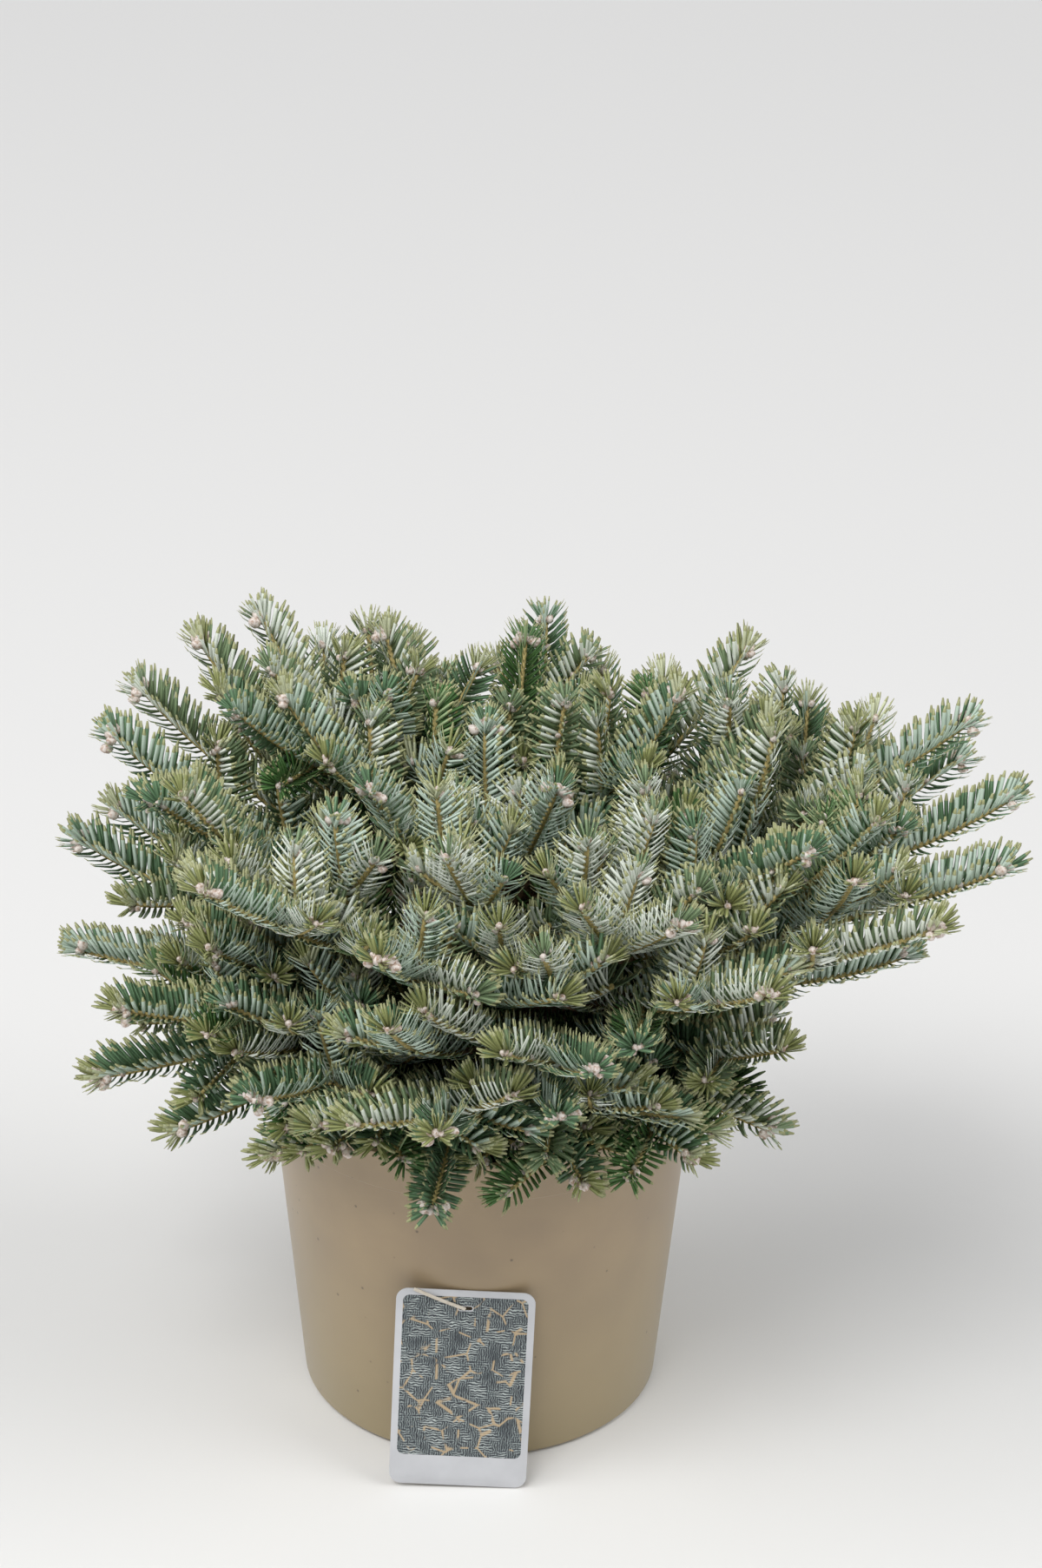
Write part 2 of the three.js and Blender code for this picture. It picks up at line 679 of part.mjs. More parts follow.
const fixed = [potSolid, soilSolid, trunkSolid, ...boughs.map((b) => b.shape)].map(claim);
for (const shoot of shoots) {
  const { mass, level, parent } = shoot;
  if (parent && !parent.grown) continue;
  const rest = masses.filter((other) => other !== mass);
  const taken = [...fixed, ...rest.flatMap((other) => [other.way, ...other.pieces])];
  const choices = level === 0 ? [makeSpray(shoot), makeTwig(shoot)] : [makeSpray(shoot)];
  const piece = choices.find((choice) => !tooNear(choice, taken));
  if (!piece) continue;
  shoot.grown = true;
  mass.pieces.push(claim(piece));
}

const plant = new THREE.Group();
plant.name = "potted_fir";
plant.add(meshOf("pot", potSolid, colours.pot));
plant.add(meshOf("soil", soilSolid, colours.soil));
plant.add(meshOf("label", makeLabel(), colours.label));
plant.add(meshOf("label_tie", makeTie(), colours.tie));
plant.add(meshOf("trunk", trunkSolid, colours.bark));
for (const { name, shape } of boughs) plant.add(meshOf(name, shape, colours.bark));
for (const mass of masses) {
  const joined = wasm.Manifold.union(mass.pieces.map((piece) => piece.shape));
  const whole = mainPiece(joined).simplify(sliver);
  plant.add(meshOf(`foliage_${mass.name}`, whole, colours.needles));
}

export default plant;
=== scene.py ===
import json
import math

import bmesh
import bpy
import numpy as np
from mathutils import Matrix, Vector, noise

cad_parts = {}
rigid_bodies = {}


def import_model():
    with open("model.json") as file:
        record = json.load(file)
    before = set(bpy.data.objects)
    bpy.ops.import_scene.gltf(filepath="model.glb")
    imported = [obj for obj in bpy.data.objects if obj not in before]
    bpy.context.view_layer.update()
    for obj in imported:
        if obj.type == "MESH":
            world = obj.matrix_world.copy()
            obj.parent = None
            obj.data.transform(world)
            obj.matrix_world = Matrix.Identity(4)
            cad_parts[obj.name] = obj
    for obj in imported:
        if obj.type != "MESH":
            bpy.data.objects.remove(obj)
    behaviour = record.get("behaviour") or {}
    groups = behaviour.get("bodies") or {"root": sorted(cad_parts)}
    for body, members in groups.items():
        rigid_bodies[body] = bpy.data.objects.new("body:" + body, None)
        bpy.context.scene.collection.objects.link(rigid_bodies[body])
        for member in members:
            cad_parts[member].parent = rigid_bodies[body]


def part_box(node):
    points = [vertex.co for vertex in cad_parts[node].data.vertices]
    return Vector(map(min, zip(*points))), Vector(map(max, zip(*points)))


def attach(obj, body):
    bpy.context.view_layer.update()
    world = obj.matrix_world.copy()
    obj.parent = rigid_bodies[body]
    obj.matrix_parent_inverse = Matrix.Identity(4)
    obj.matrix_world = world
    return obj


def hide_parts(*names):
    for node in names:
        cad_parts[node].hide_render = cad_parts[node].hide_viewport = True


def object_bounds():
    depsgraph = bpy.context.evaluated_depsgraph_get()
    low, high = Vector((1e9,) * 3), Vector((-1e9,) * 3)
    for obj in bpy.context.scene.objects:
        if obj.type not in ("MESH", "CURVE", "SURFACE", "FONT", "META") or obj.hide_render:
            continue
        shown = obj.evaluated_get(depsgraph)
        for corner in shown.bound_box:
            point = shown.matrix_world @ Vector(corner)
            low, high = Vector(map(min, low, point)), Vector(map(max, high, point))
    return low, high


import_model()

# A young Korean fir in its nursery pot. The pot, soil and label are modelled here over the CAD solids.
# The crown is grown by the rule of the CAD source, in millimetres, and carried to single needles.
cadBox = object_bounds()
mm = 0.001


def linear(code):  # an sRGB hex colour as linear RGBA
    channels = [int(code[n:n + 2], 16) / 255 for n in (0, 2, 4)]
    return [c / 12.92 if c < 0.04045 else ((c + 0.055) / 1.055) ** 2.4 for c in channels] + [1.0]


def setInputs(node, inputs):  # to values, or linked from other nodes' outputs
    for key, value in inputs.items():
        if isinstance(value, bpy.types.NodeSocket):
            node.id_data.links.new(value, node.inputs[key])
        else:
            node.inputs[key].default_value = value


# Adds a node and gives back its output. A ramp's stops are (position, hex colour) or (position, grey).
def addNode(tree, kind, inputs, output=None, stops=(), **settings):
    node = tree.nodes.new("ShaderNode" + kind)
    for key, value in settings.items():
        setattr(node, key, value)
    setInputs(node, inputs)
    if stops:
        elements = node.color_ramp.elements
        while len(elements) < len(stops):
            elements.new(0.5)
        for element, (position, value) in zip(elements, stops):
            element.position = position
            element.color = linear(value) if isinstance(value, str) else (value, value, value, 1)
    return node.outputs[output] if output else next(socket for socket in node.outputs if socket.enabled)


def newMaterial(name, code, roughness, ior=1.5):
    material = bpy.data.materials.new(name)
    material.use_nodes = True
    material.diffuse_color = linear(code)
    shader = material.node_tree.nodes["Principled BSDF"]
    setInputs(shader, {"Base Color": linear(code), "Roughness": roughness, "IOR": ior})
    return material, material.node_tree, shader


# Noise of a real size in mm spreads the tones, and gives a relief of a real depth where the look has a bump.
def mottled(name, base, tones, look):
    material, tree, shader = newMaterial(name, base, look["roughness"], look["ior"])
    where = addNode(tree, "TexCoord", {}, "Object")
    grain = {"Vector": where, "Scale": 1 / (look["grain"] * mm), "Detail": look["detail"]}
    spots = addNode(tree, "TexNoise", grain)
    setInputs(shader, {"Base Color": addNode(tree, "ValToRGB", {"Fac": spots}, stops=tones)})
    if "bump" in look:
        relief = {"Height": spots, "Strength": look["bump"], "Distance": look["depth"] * mm}
        setInputs(shader, {"Normal": addNode(tree, "Bump", relief)})
    return material


def newObject(name, data):
    made = bpy.data.objects.new(name, data)
    bpy.context.scene.collection.objects.link(made)
    return made


def placed(name, mesh, materials, nodes):
    for material in materials:
        mesh.materials.append(material)
    piece = newObject(name, mesh)
    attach(piece, "root")
    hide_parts(*nodes)


def smoothed(mesh, sharpFrom):  # smooth but for edges sharper than so many degrees
    mesh.shade_smooth()
    mesh.set_sharp_from_angle(angle=math.radians(sharpFrom))
    return mesh


def meshOf(name, bm, sharpFrom=None):
    bmesh.ops.recalc_face_normals(bm, faces=bm.faces)
    mesh = bpy.data.meshes.new(name)
    bm.to_mesh(mesh)
    bm.free()
    return smoothed(mesh, sharpFrom) if sharpFrom else mesh


def arrayMesh(name, points, faces, materialIndex=None):  # faces: a list of arrays of equal corners
    mesh = bpy.data.meshes.new(name)
    corners = np.concatenate([f.ravel() for f in faces])
    sizes = np.concatenate([np.full(len(f), f.shape[1]) for f in faces])
    mesh.vertices.add(len(points))
    mesh.vertices.foreach_set("co", (points * mm).astype(np.float32).ravel())
    mesh.loops.add(len(corners))
    mesh.loops.foreach_set("vertex_index", corners.astype(np.int32))
    mesh.polygons.add(len(sizes))
    mesh.polygons.foreach_set("loop_start", np.concatenate([[0], np.cumsum(sizes)[:-1]]).astype(np.int32))
    if materialIndex is not None:
        mesh.polygons.foreach_set("material_index", materialIndex.astype(np.int32))
    mesh.update(calc_edges=True)
    mesh.validate()
    return mesh


def unit(v):
    return v / np.linalg.norm(v, axis=-1, keepdims=True)


def mix(a, b, t):
    return a + (b - a) * t


def between(a, b, angle):  # turned from a towards b, once for each angle in radians
    return np.cos(angle)[..., None] * a + np.sin(angle)[..., None] * b


def turned(v, axis, degrees):
    a = math.radians(degrees)
    return v * math.cos(a) + np.cross(axis, v) * math.sin(a) + axis * np.dot(axis, v) * (1 - math.cos(a))


view = {
    "place": (0.0206, -1.701, 1.1745),  # in metres, like the studio's sizes
    "pitch": 24.76,  # degrees below level
    "roll": 0.794, "lens": 75.25, "sensor": 36.0, "clip": (0.05, 200),
}


def makeCamera():
    data = bpy.data.cameras.new("camera")
    data.sensor_fit = "VERTICAL"
    data.sensor_width = data.sensor_height = view["sensor"]
    data.lens = view["lens"]
    data.clip_start, data.clip_end = view["clip"]
    camera = newObject("camera", data)
    tilt = Matrix.Rotation(math.radians(90 - view["pitch"]), 4, "X")
    roll = Matrix.Rotation(math.radians(view["roll"]), 4, "Z")
    camera.matrix_world = Matrix.Translation(view["place"]) @ tilt @ roll
    bpy.context.scene.camera = camera


studio = {
    "floorSize": 200.0, "floorColour": "DCDBD9", "floorRoughness": 0.9, "sky": "F1F3F7",
    "skyStrength": 0.52,
    "lamps": (((-1.0, -0.34, 0.95), 1.12), ((1.0, -0.3, 0.9), 1.14)),  # where from, and how strong
    "lampAngle": 36,  # degrees across, for soft shadows
    "keyPlace": (-1.0, -2.3, 3.9), "keyAim": (0, 0, 0.25), "keySize": 2.0, "keyPower": 90,
}


def addLamp(name, kind, source, energy, **settings):
    data = bpy.data.lights.new(name, kind)
    data.energy = energy
    for key, value in settings.items():
        setattr(data, key, value)
    lamp = newObject(name, data)
    lamp.rotation_mode = "QUATERNION"
    lamp.rotation_quaternion = Vector(source).to_track_quat("Z", "Y")
    return lamp


def makeStudio():
    bm = bmesh.new()
    bmesh.ops.create_grid(bm, x_segments=1, y_segments=1, size=studio["floorSize"] / 2)
    # Matt paper backdrop: a pale ground without a shine, which takes soft shadows.
    paper = newMaterial("matt paper backdrop", studio["floorColour"], studio["floorRoughness"])[0]
    floor = newObject("floor", meshOf("floor", bm))
    floor.data.materials.append(paper)
    for source, strength in studio["lamps"]:
        addLamp("softbox", "SUN", source, strength, angle=math.radians(studio["lampAngle"]))
    source = Vector(studio["keyPlace"]) - Vector(studio["keyAim"])
    key = addLamp("key", "AREA", source, studio["keyPower"], shape="DISK", size=studio["keySize"])
    key.location = studio["keyPlace"]
    world = bpy.data.worlds.new("studio")
    world.use_nodes = True
    sky = {"Color": linear(studio["sky"]), "Strength": studio["skyStrength"]}
    setInputs(world.node_tree.nodes["Background"], sky)
    bpy.context.scene.world = world
    bpy.context.scene.view_settings.view_transform = "Standard"


makeCamera()
makeStudio()
print("camera, floor and light are set")


pot = {
    "height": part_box("pot")[1].z / mm,
    "lipRadius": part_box("pot")[1].x / mm,
    "footRadius": 108, "bandRadius": 124.6, "bandHeight": 26, "bandStep": 1.8, "lipHeight": 3.5,
    "wall": 2.4, "floor": 3, "footChamfer": 3,
    "ring": 13,  # width of the ring that it stands on, and how far the base rises inside
    "rise": 0.6, "edge": 1,
    "hole": {"radius": 6, "count": 6, "circle": 84, "sides": 32, "depth": 24},
    "segments": 144,
    "round": (0.45, 3, 20),  # radius and steps of the edges that turn by more degrees
    "sharpFrom": 25, "tones": ((0.35, "937F64"), (0.68, "9F8A6B")),
    "patch": 60,  # size of the faint cloudy patches
    "patchDetail": 4,
    "footTone": "938563",  # a little more olive down by the foot, up to a share of the height
    "footShare": 0.85, "footReach": 0.7, "speck": "4B4032",
    "speckGap": 15,  # between the dark specks
    "speckSize": 0.55,
    "speckEdge": 2.2,  # where they have faded, in their own sizes
    "speckShare": 0.7, "roughness": (0.32, 0.46), "ior": 1.49,
    "skin": 0.4,  # the smoother skin that the polished mould leaves, which brightens the sides
    "skinRoughness": 0.3,
    "grain": 1.1,  # of the moulded surface, a little coarser than real so that it shows
    "bump": 0.12, "depth": 0.2,
}
potSlope = (pot["bandRadius"] - pot["footRadius"]) / (pot["height"] - pot["bandHeight"])


def potOutline():
    top, foot, wall, half = pot["height"], pot["footRadius"], pot["wall"], pot["edge"] / 2
    ring, lip, band = foot - pot["ring"], pot["lipRadius"], pot["bandRadius"] + pot["bandStep"]
    bandFoot, lipFoot = top - pot["bandHeight"], top - pot["lipHeight"]
    bandTop = band + potSlope * (lipFoot - bandFoot)
    return [(0, pot["rise"]), (ring - pot["edge"], pot["rise"]), (ring, 0), (foot - pot["footChamfer"], 0),
            (foot, pot["footChamfer"]), (pot["bandRadius"], bandFoot - half), (band, bandFoot + half),
            (bandTop, lipFoot), (lip, lipFoot + pot["edge"]), (lip, top), (bandTop - wall, top),
            (band - wall, bandFoot), (foot - wall + potSlope * pot["floor"], pot["floor"]), (0, pot["floor"])]


def spun(outline, segments):
    bm = bmesh.new()
    rim = [bm.verts.new((r * mm, 0, z * mm)) for r, z in outline]
    line = [bm.edges.new(pair) for pair in zip(rim, rim[1:])]
    bmesh.ops.spin(bm, geom=rim + line, axis=(0, 0, 1), cent=(0, 0, 0), angle=2 * math.pi,
                   steps=segments, use_merge=True)
    bmesh.ops.remove_doubles(bm, verts=bm.verts, dist=1e-6)
    return bm


def rounded(bm, radius, steps, sharpest, clamp=True):  # rounds the edges that turn by more degrees
    bmesh.ops.recalc_face_normals(bm, faces=bm.faces)
    edges = [e for e in bm.edges if e.calc_face_angle(0) > math.radians(sharpest)]
    bmesh.ops.bevel(bm, geom=edges, offset=radius * mm, affect="EDGES", segments=steps, profile=0.5,
                    material=-1, clamp_overlap=clamp)


def makePot():  # the drainage holes are cut through the base
    bm = spun(potOutline(), pot["segments"])
    rounded(bm, *pot["round"])
    body = newObject("potBody", meshOf("potShell", bm))
    hole = pot["hole"]
    bm = bmesh.new()
    for n in range(hole["count"]):
        angle = 2 * math.pi * (n + 0.5) / hole["count"]
        place = Vector((math.cos(angle), math.sin(angle), 0)) * hole["circle"] * mm
        bmesh.ops.create_cone(bm, cap_ends=True, segments=hole["sides"], radius1=hole["radius"] * mm,
                              radius2=hole["radius"] * mm, depth=hole["depth"] * mm,
                              matrix=Matrix.Translation(place))
    pins = newObject("drills", meshOf("drills", bm))
    cut = body.modifiers.new("holes", "BOOLEAN")
    cut.operation = "DIFFERENCE"
    cut.solver = "EXACT"
    cut.object = pins
    made = bpy.data.meshes.new_from_object(body.evaluated_get(bpy.context.evaluated_depsgraph_get()))
    for piece in (body, pins):
        bpy.data.objects.remove(piece)
    made.name = "pot"
    return smoothed(made, pot["sharpFrom"])


# Polypropylene, injection moulded: satin, a little cloudy, with fine dark specks of the recycled plastic.
def potPlastic():
    smooth, rough = pot["roughness"]
    material, tree, shader = newMaterial("moulded taupe polypropylene", pot["tones"][0][1], rough, pot["ior"])
    where = addNode(tree, "TexCoord", {}, "Object")
    patches = {"Vector": where, "Scale": 1 / (pot["patch"] * mm), "Detail": pot["patchDetail"]}
    cloud = addNode(tree, "TexNoise", patches)
    tones = addNode(tree, "ValToRGB", {"Fac": cloud}, stops=pot["tones"])
    height = addNode(tree, "SeparateXYZ", {"Vector": where}, "Z")
    low = addNode(tree, "MapRange", {"Value": height, "From Max": pot["height"] * mm * pot["footReach"],
                                     "To Min": pot["footShare"], "To Max": 0})
    faded = addNode(tree, "Mix", {"Factor": low, "A": tones, "B": linear(pot["footTone"])}, data_type="RGBA")
    cells = addNode(tree, "TexVoronoi", {"Vector": where, "Scale": 1 / (pot["speckGap"] * mm)})
    share = pot["speckSize"] / pot["speckGap"]
    fading = ((share, pot["speckShare"]), (share * pot["speckEdge"], 0.0))
    dots = addNode(tree, "ValToRGB", {"Fac": cells}, stops=fading)
    specked = addNode(tree, "Mix", {"Factor": dots, "A": faded, "B": linear(pot["speck"])}, data_type="RGBA")
    wear = addNode(tree, "MapRange", {"Value": cloud, "To Min": smooth, "To Max": rough})
    grain = addNode(tree, "TexNoise", {"Vector": where, "Scale": 1 / (pot["grain"] * mm)})
    relief = {"Height": grain, "Strength": pot["bump"], "Distance": pot["depth"] * mm}
    setInputs(shader, {"Base Color": specked, "Roughness": wear, "Normal": addNode(tree, "Bump", relief),
                       "Coat Weight": pot["skin"], "Coat Roughness": pot["skinRoughness"]})
    return material


placed("nurseryPot", makePot(), [potPlastic()], ["pot"])
print("pot is turned and drilled")


soil = {
    "top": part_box("soil")[1].z / mm,
    "foot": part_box("soil")[0].z / mm,
    "gap": 0.6,  # to the pot's wall
    "edgeDrop": 3, "rings": 34, "segments": 120, "sharpFrom": 35,
    "topFrom": 0.1,  # under the edge's height, from where on a point belongs to the lumpy top
    "relief": 1.6,  # height of the lumps, their size, and which slice of the noise they come from
    "lump": 9, "slice": 3.7,
    "lumpNoise": (1.0, 2.0, 4),  # its roughness, lacunarity and octaves
    "lumpShare": 0.55,  # of the relief to each side of its middle
    "crumbs": 900, "crumbSeed": 5, "crumbSize": (0.8, 2.4),
    "crumbEdge": 3,  # how far they keep from the wall
    "dents": 0.45,
    "stretch": (0.6, 0.7),  # of a crumb along each axis: the least, and how much more at most
    "lift": 0.15,  # of a crumb's middle over the soil, in its own sizes
    "dark": "241B14", "light": "4A3828", "darkTo": 0.36,
    "lightFrom": {"peat compost": 0.85, "bark fines": 0.66},
    "look": {"grain": 2.2, "detail": 5, "roughness": 0.95, "ior": 1.4, "bump": 0.8, "depth": 0.8},
}
soil["radius"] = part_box("soil")[1].x / mm - soil["gap"]


def soilHeight(r, x, y):
    level = soil["top"] - soil["edgeDrop"] * (r / soil["radius"]) ** 2 - soil["relief"]
    lumps = noise.fractal(Vector((x, y, soil["slice"])) / soil["lump"], *soil["lumpNoise"])
    return level + soil["relief"] * soil["lumpShare"] * lumps


def makeSoil():
    foot, edge = soil["foot"], soil["top"] - soil["edgeDrop"]
    inside = pot["footRadius"] - pot["wall"] - soil["gap"]
    outline = [(0, foot), (inside, foot), (soil["radius"], (soil["radius"] - inside) / potSlope)]
    outline += [(soil["radius"] * n / soil["rings"], edge) for n in range(soil["rings"], -1, -1)]
    bm = spun(outline, soil["segments"])
    for v in bm.verts:
        x, y, z = (c / mm for c in v.co)
        if z > edge - soil["topFrom"]:
            v.co.z = soilHeight(math.hypot(x, y), x, y) * mm
    return meshOf("soilBody", bm, soil["sharpFrom"])


def makeCrumbs():
    rng = np.random.default_rng(soil["crumbSeed"])
    bm = bmesh.new()
    bmesh.ops.create_icosphere(bm, subdivisions=1, radius=1)
    ball = np.array([v.co for v in bm.verts])
    faces = np.array([[v.index for v in f.verts] for f in bm.faces])
    bm.free()
    count = soil["crumbs"]
    r = (soil["radius"] - soil["crumbEdge"]) * np.sqrt(rng.random(count))
    a = rng.random(count) * 2 * math.pi
    size = mix(*soil["crumbSize"], rng.random(count) ** 2)[:, None, None]
    dents = 1 + soil["dents"] * (rng.random((count, len(ball), 1)) - 0.5)
    least, more = soil["stretch"]
    shape = size * dents * (least + more * rng.random((count, 1, 3)))
    x, y = r * np.cos(a), r * np.sin(a)
    z = np.array([soilHeight(*row) for row in zip(r, x, y)])
    middle = np.stack([x, y, z + soil["lift"] * size[:, 0, 0]], 1)[:, None]
    shifts = np.arange(count)[:, None, None] * len(ball)
    return arrayMesh("soilCrumbs", (middle + ball * shape).reshape(-1, 3), [(faces + shifts).reshape(-1, 3)])


# Potting compost of peat and bark fines: matt, dark brown, broken into crumbs of a few millimetres.
def compost(name):
    tones = ((soil["darkTo"], soil["dark"]), (soil["lightFrom"][name], soil["light"]))
    return mottled(name, soil["dark"], tones, soil["look"])


placed("compostBody", makeSoil(), [compost("peat compost")], ["soil"])
placed("compostCrumbs", makeCrumbs(), [compost("bark fines")], ["soil"])
print("soil is filled in")


label = {
    "width": 80, "height": 125, "thickness": 0.9, "corner": 7, "cornerSteps": 8, "footY": -135.5,
    "topZ": 124, "x": -11, "turn": -2,
    "gap": 0.3,  # to the pot and to the floor
    "slot": (8, 2.4), "slotDrop": 10, "slotCorner": 1.1, "slotSteps": 4, "round": (0.2, 2, 80),
    "sharpFrom": 35, "tones": ((0.3, "B5B6B9"), (0.7, "C6C7CA")),
    "look": {"grain": 30, "detail": 3, "roughness": 0.34, "ior": 1.55},
}
ornament = {  # lengths in mm, and on the print's own map in units of 100 mm
    "unit": 100, "border": 4,
    "strip": 19,  # bare grey strip under the printed panel
    "corner": 4,
    "film": 0.05,  # how far the printed film stands proud of the card
    "slotGap": 0.6,  # bare card round the slot
    "slotCorner": 1.6, "patch": 11.111, "hatches": ((4.1667, "X"), (5, "Y")),
    "wander": 6,  # of the hatches
    "wanderDetail": 1.5,
    "change": (0.46, 0.54),  # where one hatch gives way to the other
    "tones": ((0.08, "23272E"), (0.32, "5C6668"), (0.6, "B3BBB8")),
    "cell": 14.286,  # the strokes are edges of cells
    "stroke": ((0.02, 0.85), (0.045, 0.0)), "strokeColour": "B8A17F",
    "breaks": 9.091,  # between the gaps in them
    "breakDetail": 1, "shown": (0.48, 0.53), "roughness": 0.3, "ior": 1.55,
}
tie = {
    "width": 1.9, "thickness": 0.5, "length": 30, "rise": 11.4, "bow": 0.8,
    "gap": 0.3,  # to the card
    "steps": 40, "sharpFrom": 50, "tones": ((0.3, "BDB3A2"), (0.7, "D2CABD")),
    "look": {"grain": 3, "detail": 2, "roughness": 0.4, "ior": 1.5},
}


def labelFrame():  # the card stands in its own x and y, with its face along z
    wallY = -(pot["footRadius"] + potSlope * label["topZ"])
    lean = math.asin((wallY - label["gap"] - label["footY"]) / label["height"])
    lowest = label["width"] / 2 * math.sin(math.radians(-label["turn"]))
    place = Matrix.Translation(Vector((label["x"], label["footY"], label["gap"] + lowest)) * mm)
    stand = Matrix.Rotation(math.pi / 2 - lean, 4, "X")
    return place @ stand @ Matrix.Rotation(math.radians(label["turn"]), 4, "Z")


def roundedLoop(bm, width, bottom, top, corner, z, steps):
    loop = []
    half = width / 2
    for n, (cx, cy) in enumerate([(half, bottom), (half, top), (-half, top), (-half, bottom)]):
        heart = (cx - math.copysign(corner, cx), cy - corner if cy == top else cy + corner)
        for k in range(steps + 1):
            a = -math.pi / 2 + math.pi / 2 * (n + k / steps)
            loop.append(bm.verts.new(((heart[0] + corner * math.cos(a)) * mm,
                                      (heart[1] + corner * math.sin(a)) * mm, z * mm)))
    return [bm.edges.new((a, b)) for a, b in zip(loop, loop[1:] + loop[:1])]


def slotLoop(bm, margin, corner, z):
    width, height = label["slot"]
    top = label["height"] - label["slotDrop"]
    return roundedLoop(bm, width + 2 * margin, top - height - margin, top + margin, corner, z,
                       label["slotSteps"])


def raised(bm, height):  # gives the flat faces a thickness
    lifted = bmesh.ops.extrude_face_region(bm, geom=list(bm.faces))
    front = [e for e in lifted["geom"] if isinstance(e, bmesh.types.BMVert)]
    bmesh.ops.translate(bm, verts=front, vec=(0, 0, height * mm))


def makeLabel():
    bm = bmesh.new()
    outer = roundedLoop(bm, label["width"], 0, label["height"], label["corner"], 0, label["cornerSteps"])
    slot = slotLoop(bm, 0, label["slotCorner"], 0)
    bmesh.ops.triangle_fill(bm, edges=outer + slot, use_beauty=True)
    raised(bm, label["thickness"])
    rounded(bm, *label["round"], clamp=False)
    bm.transform(labelFrame())
    return meshOf("labelCard", bm, label["sharpFrom"])


# The printed film lies on the card, a twentieth of a millimetre proud of it.
def makePanel():
    bm = bmesh.new()
    top, z = label["height"] - ornament["border"], label["thickness"]
    width = label["width"] - 2 * ornament["border"]
    edge = roundedLoop(bm, width, ornament["strip"], top, ornament["corner"], z, label["cornerSteps"])
    hole = slotLoop(bm, ornament["slotGap"], ornament["slotCorner"], z)
    bmesh.ops.triangle_fill(bm, edges=edge + hole, use_beauty=True)
    uv = bm.loops.layers.uv.new("print")
    for face in bm.faces:
        for corner in face.loops:
            corner[uv].uv = [c / mm / ornament["unit"] for c in corner.vert.co.xy]
    raised(bm, ornament["film"])
    bm.transform(labelFrame())
    return meshOf("labelPrint", bm)


# The printed panel carries a plain ornament: crossing hatches in three grey greens under broken tan strokes.
def printedPanel():
    base, whole = ornament["tones"][1][1], ornament["unit"]
    material, tree, shader = newMaterial("printed ornament", base, ornament["roughness"], ornament["ior"])
    where = addNode(tree, "UVMap", {}, uv_map="print")
    patches = addNode(tree, "TexNoise", {"Vector": where, "Scale": whole / ornament["patch"]})
    weave = []
    for size, way in ornament["hatches"]:
        hatch = {"Vector": where, "Scale": whole / size, "Distortion": ornament["wander"],
                 "Detail Scale": ornament["wanderDetail"]}
        weave.append(addNode(tree, "TexWave", hatch, "Fac", bands_direction=way))
    low, high = ornament["change"]
    step = addNode(tree, "MapRange", {"Value": patches, "From Min": low, "From Max": high})
    woven = addNode(tree, "Mix", {"Factor": step, "A": weave[0], "B": weave[1]})
    depth = addNode(tree, "Math", {0: woven, 1: patches}, operation="MULTIPLY")
    tones = addNode(tree, "ValToRGB", {"Fac": depth}, stops=ornament["tones"])
    cells = {"Vector": where, "Scale": whole / ornament["cell"]}
    seams = addNode(tree, "TexVoronoi", cells, feature="DISTANCE_TO_EDGE")
    lines = addNode(tree, "ValToRGB", {"Fac": seams}, stops=ornament["stroke"])
    breaks = {"Vector": where, "Scale": whole / ornament["breaks"], "Detail": ornament["breakDetail"]}
    low, high = ornament["shown"]
    shown = {"Value": addNode(tree, "TexNoise", breaks), "From Min": low, "From Max": high}
    broken = addNode(tree, "Math", {0: lines, 1: addNode(tree, "MapRange", shown)}, operation="MULTIPLY")
    strokes = {"Factor": broken, "A": tones, "B": linear(ornament["strokeColour"])}
    setInputs(shader, {"Base Color": addNode(tree, "Mix", strokes, data_type="RGBA")})
    return material


def makeTie():
    seat = label["thickness"] + tie["gap"] + tie["thickness"]
    slotY = label["height"] - label["slotDrop"] - label["slot"][1] / 2
    bm = bmesh.new()
    rings = []
    for n in range(tie["steps"] + 1):
        t = n / tie["steps"]
        up = seat + tie["bow"] * math.sin(math.pi * t)
        middle = Vector((-tie["length"] * t, slotY + tie["rise"] * t, up))
        climb = tie["bow"] * math.pi * math.cos(math.pi * t)
        along = Vector((-tie["length"], tie["rise"], climb)).normalized()
        across = along.cross(Vector((0, 0, 1))).normalized() * tie["width"] / 2
        lift = across.cross(along).normalized() * tie["thickness"] / 2
        corners = (across + lift, across - lift, -across - lift, -across + lift)
        rings.append([bm.verts.new((middle + corner) * mm) for corner in corners])
    for a, b in zip(rings, rings[1:]):
        for k in range(4):
            bm.faces.new((a[k], a[(k + 1) % 4], b[(k + 1) % 4], b[k]))
    bm.faces.new(rings[0])
    bm.faces.new(rings[-1][::-1])
    bm.transform(labelFrame())
    return meshOf("labelTie", bm, tie["sharpFrom"])


# Polystyrene card, offset printed and varnished: smooth silver grey with a satin gloss.
cardPlastic = mottled("varnished polystyrene card", label["tones"][1][1], label["tones"], label["look"])
# Polyethylene strip, extruded: milky and waxy.
stripPlastic = mottled("milky polyethylene", tie["tones"][1][1], tie["tones"], tie["look"])
placed("labelCard", makeLabel(), [cardPlastic], ["label"])
placed("labelPrint", makePanel(), [printedPanel()], ["label"])
placed("labelTie", makeTie(), [stripPlastic], ["label_tie"])
print("label leans on the pot")


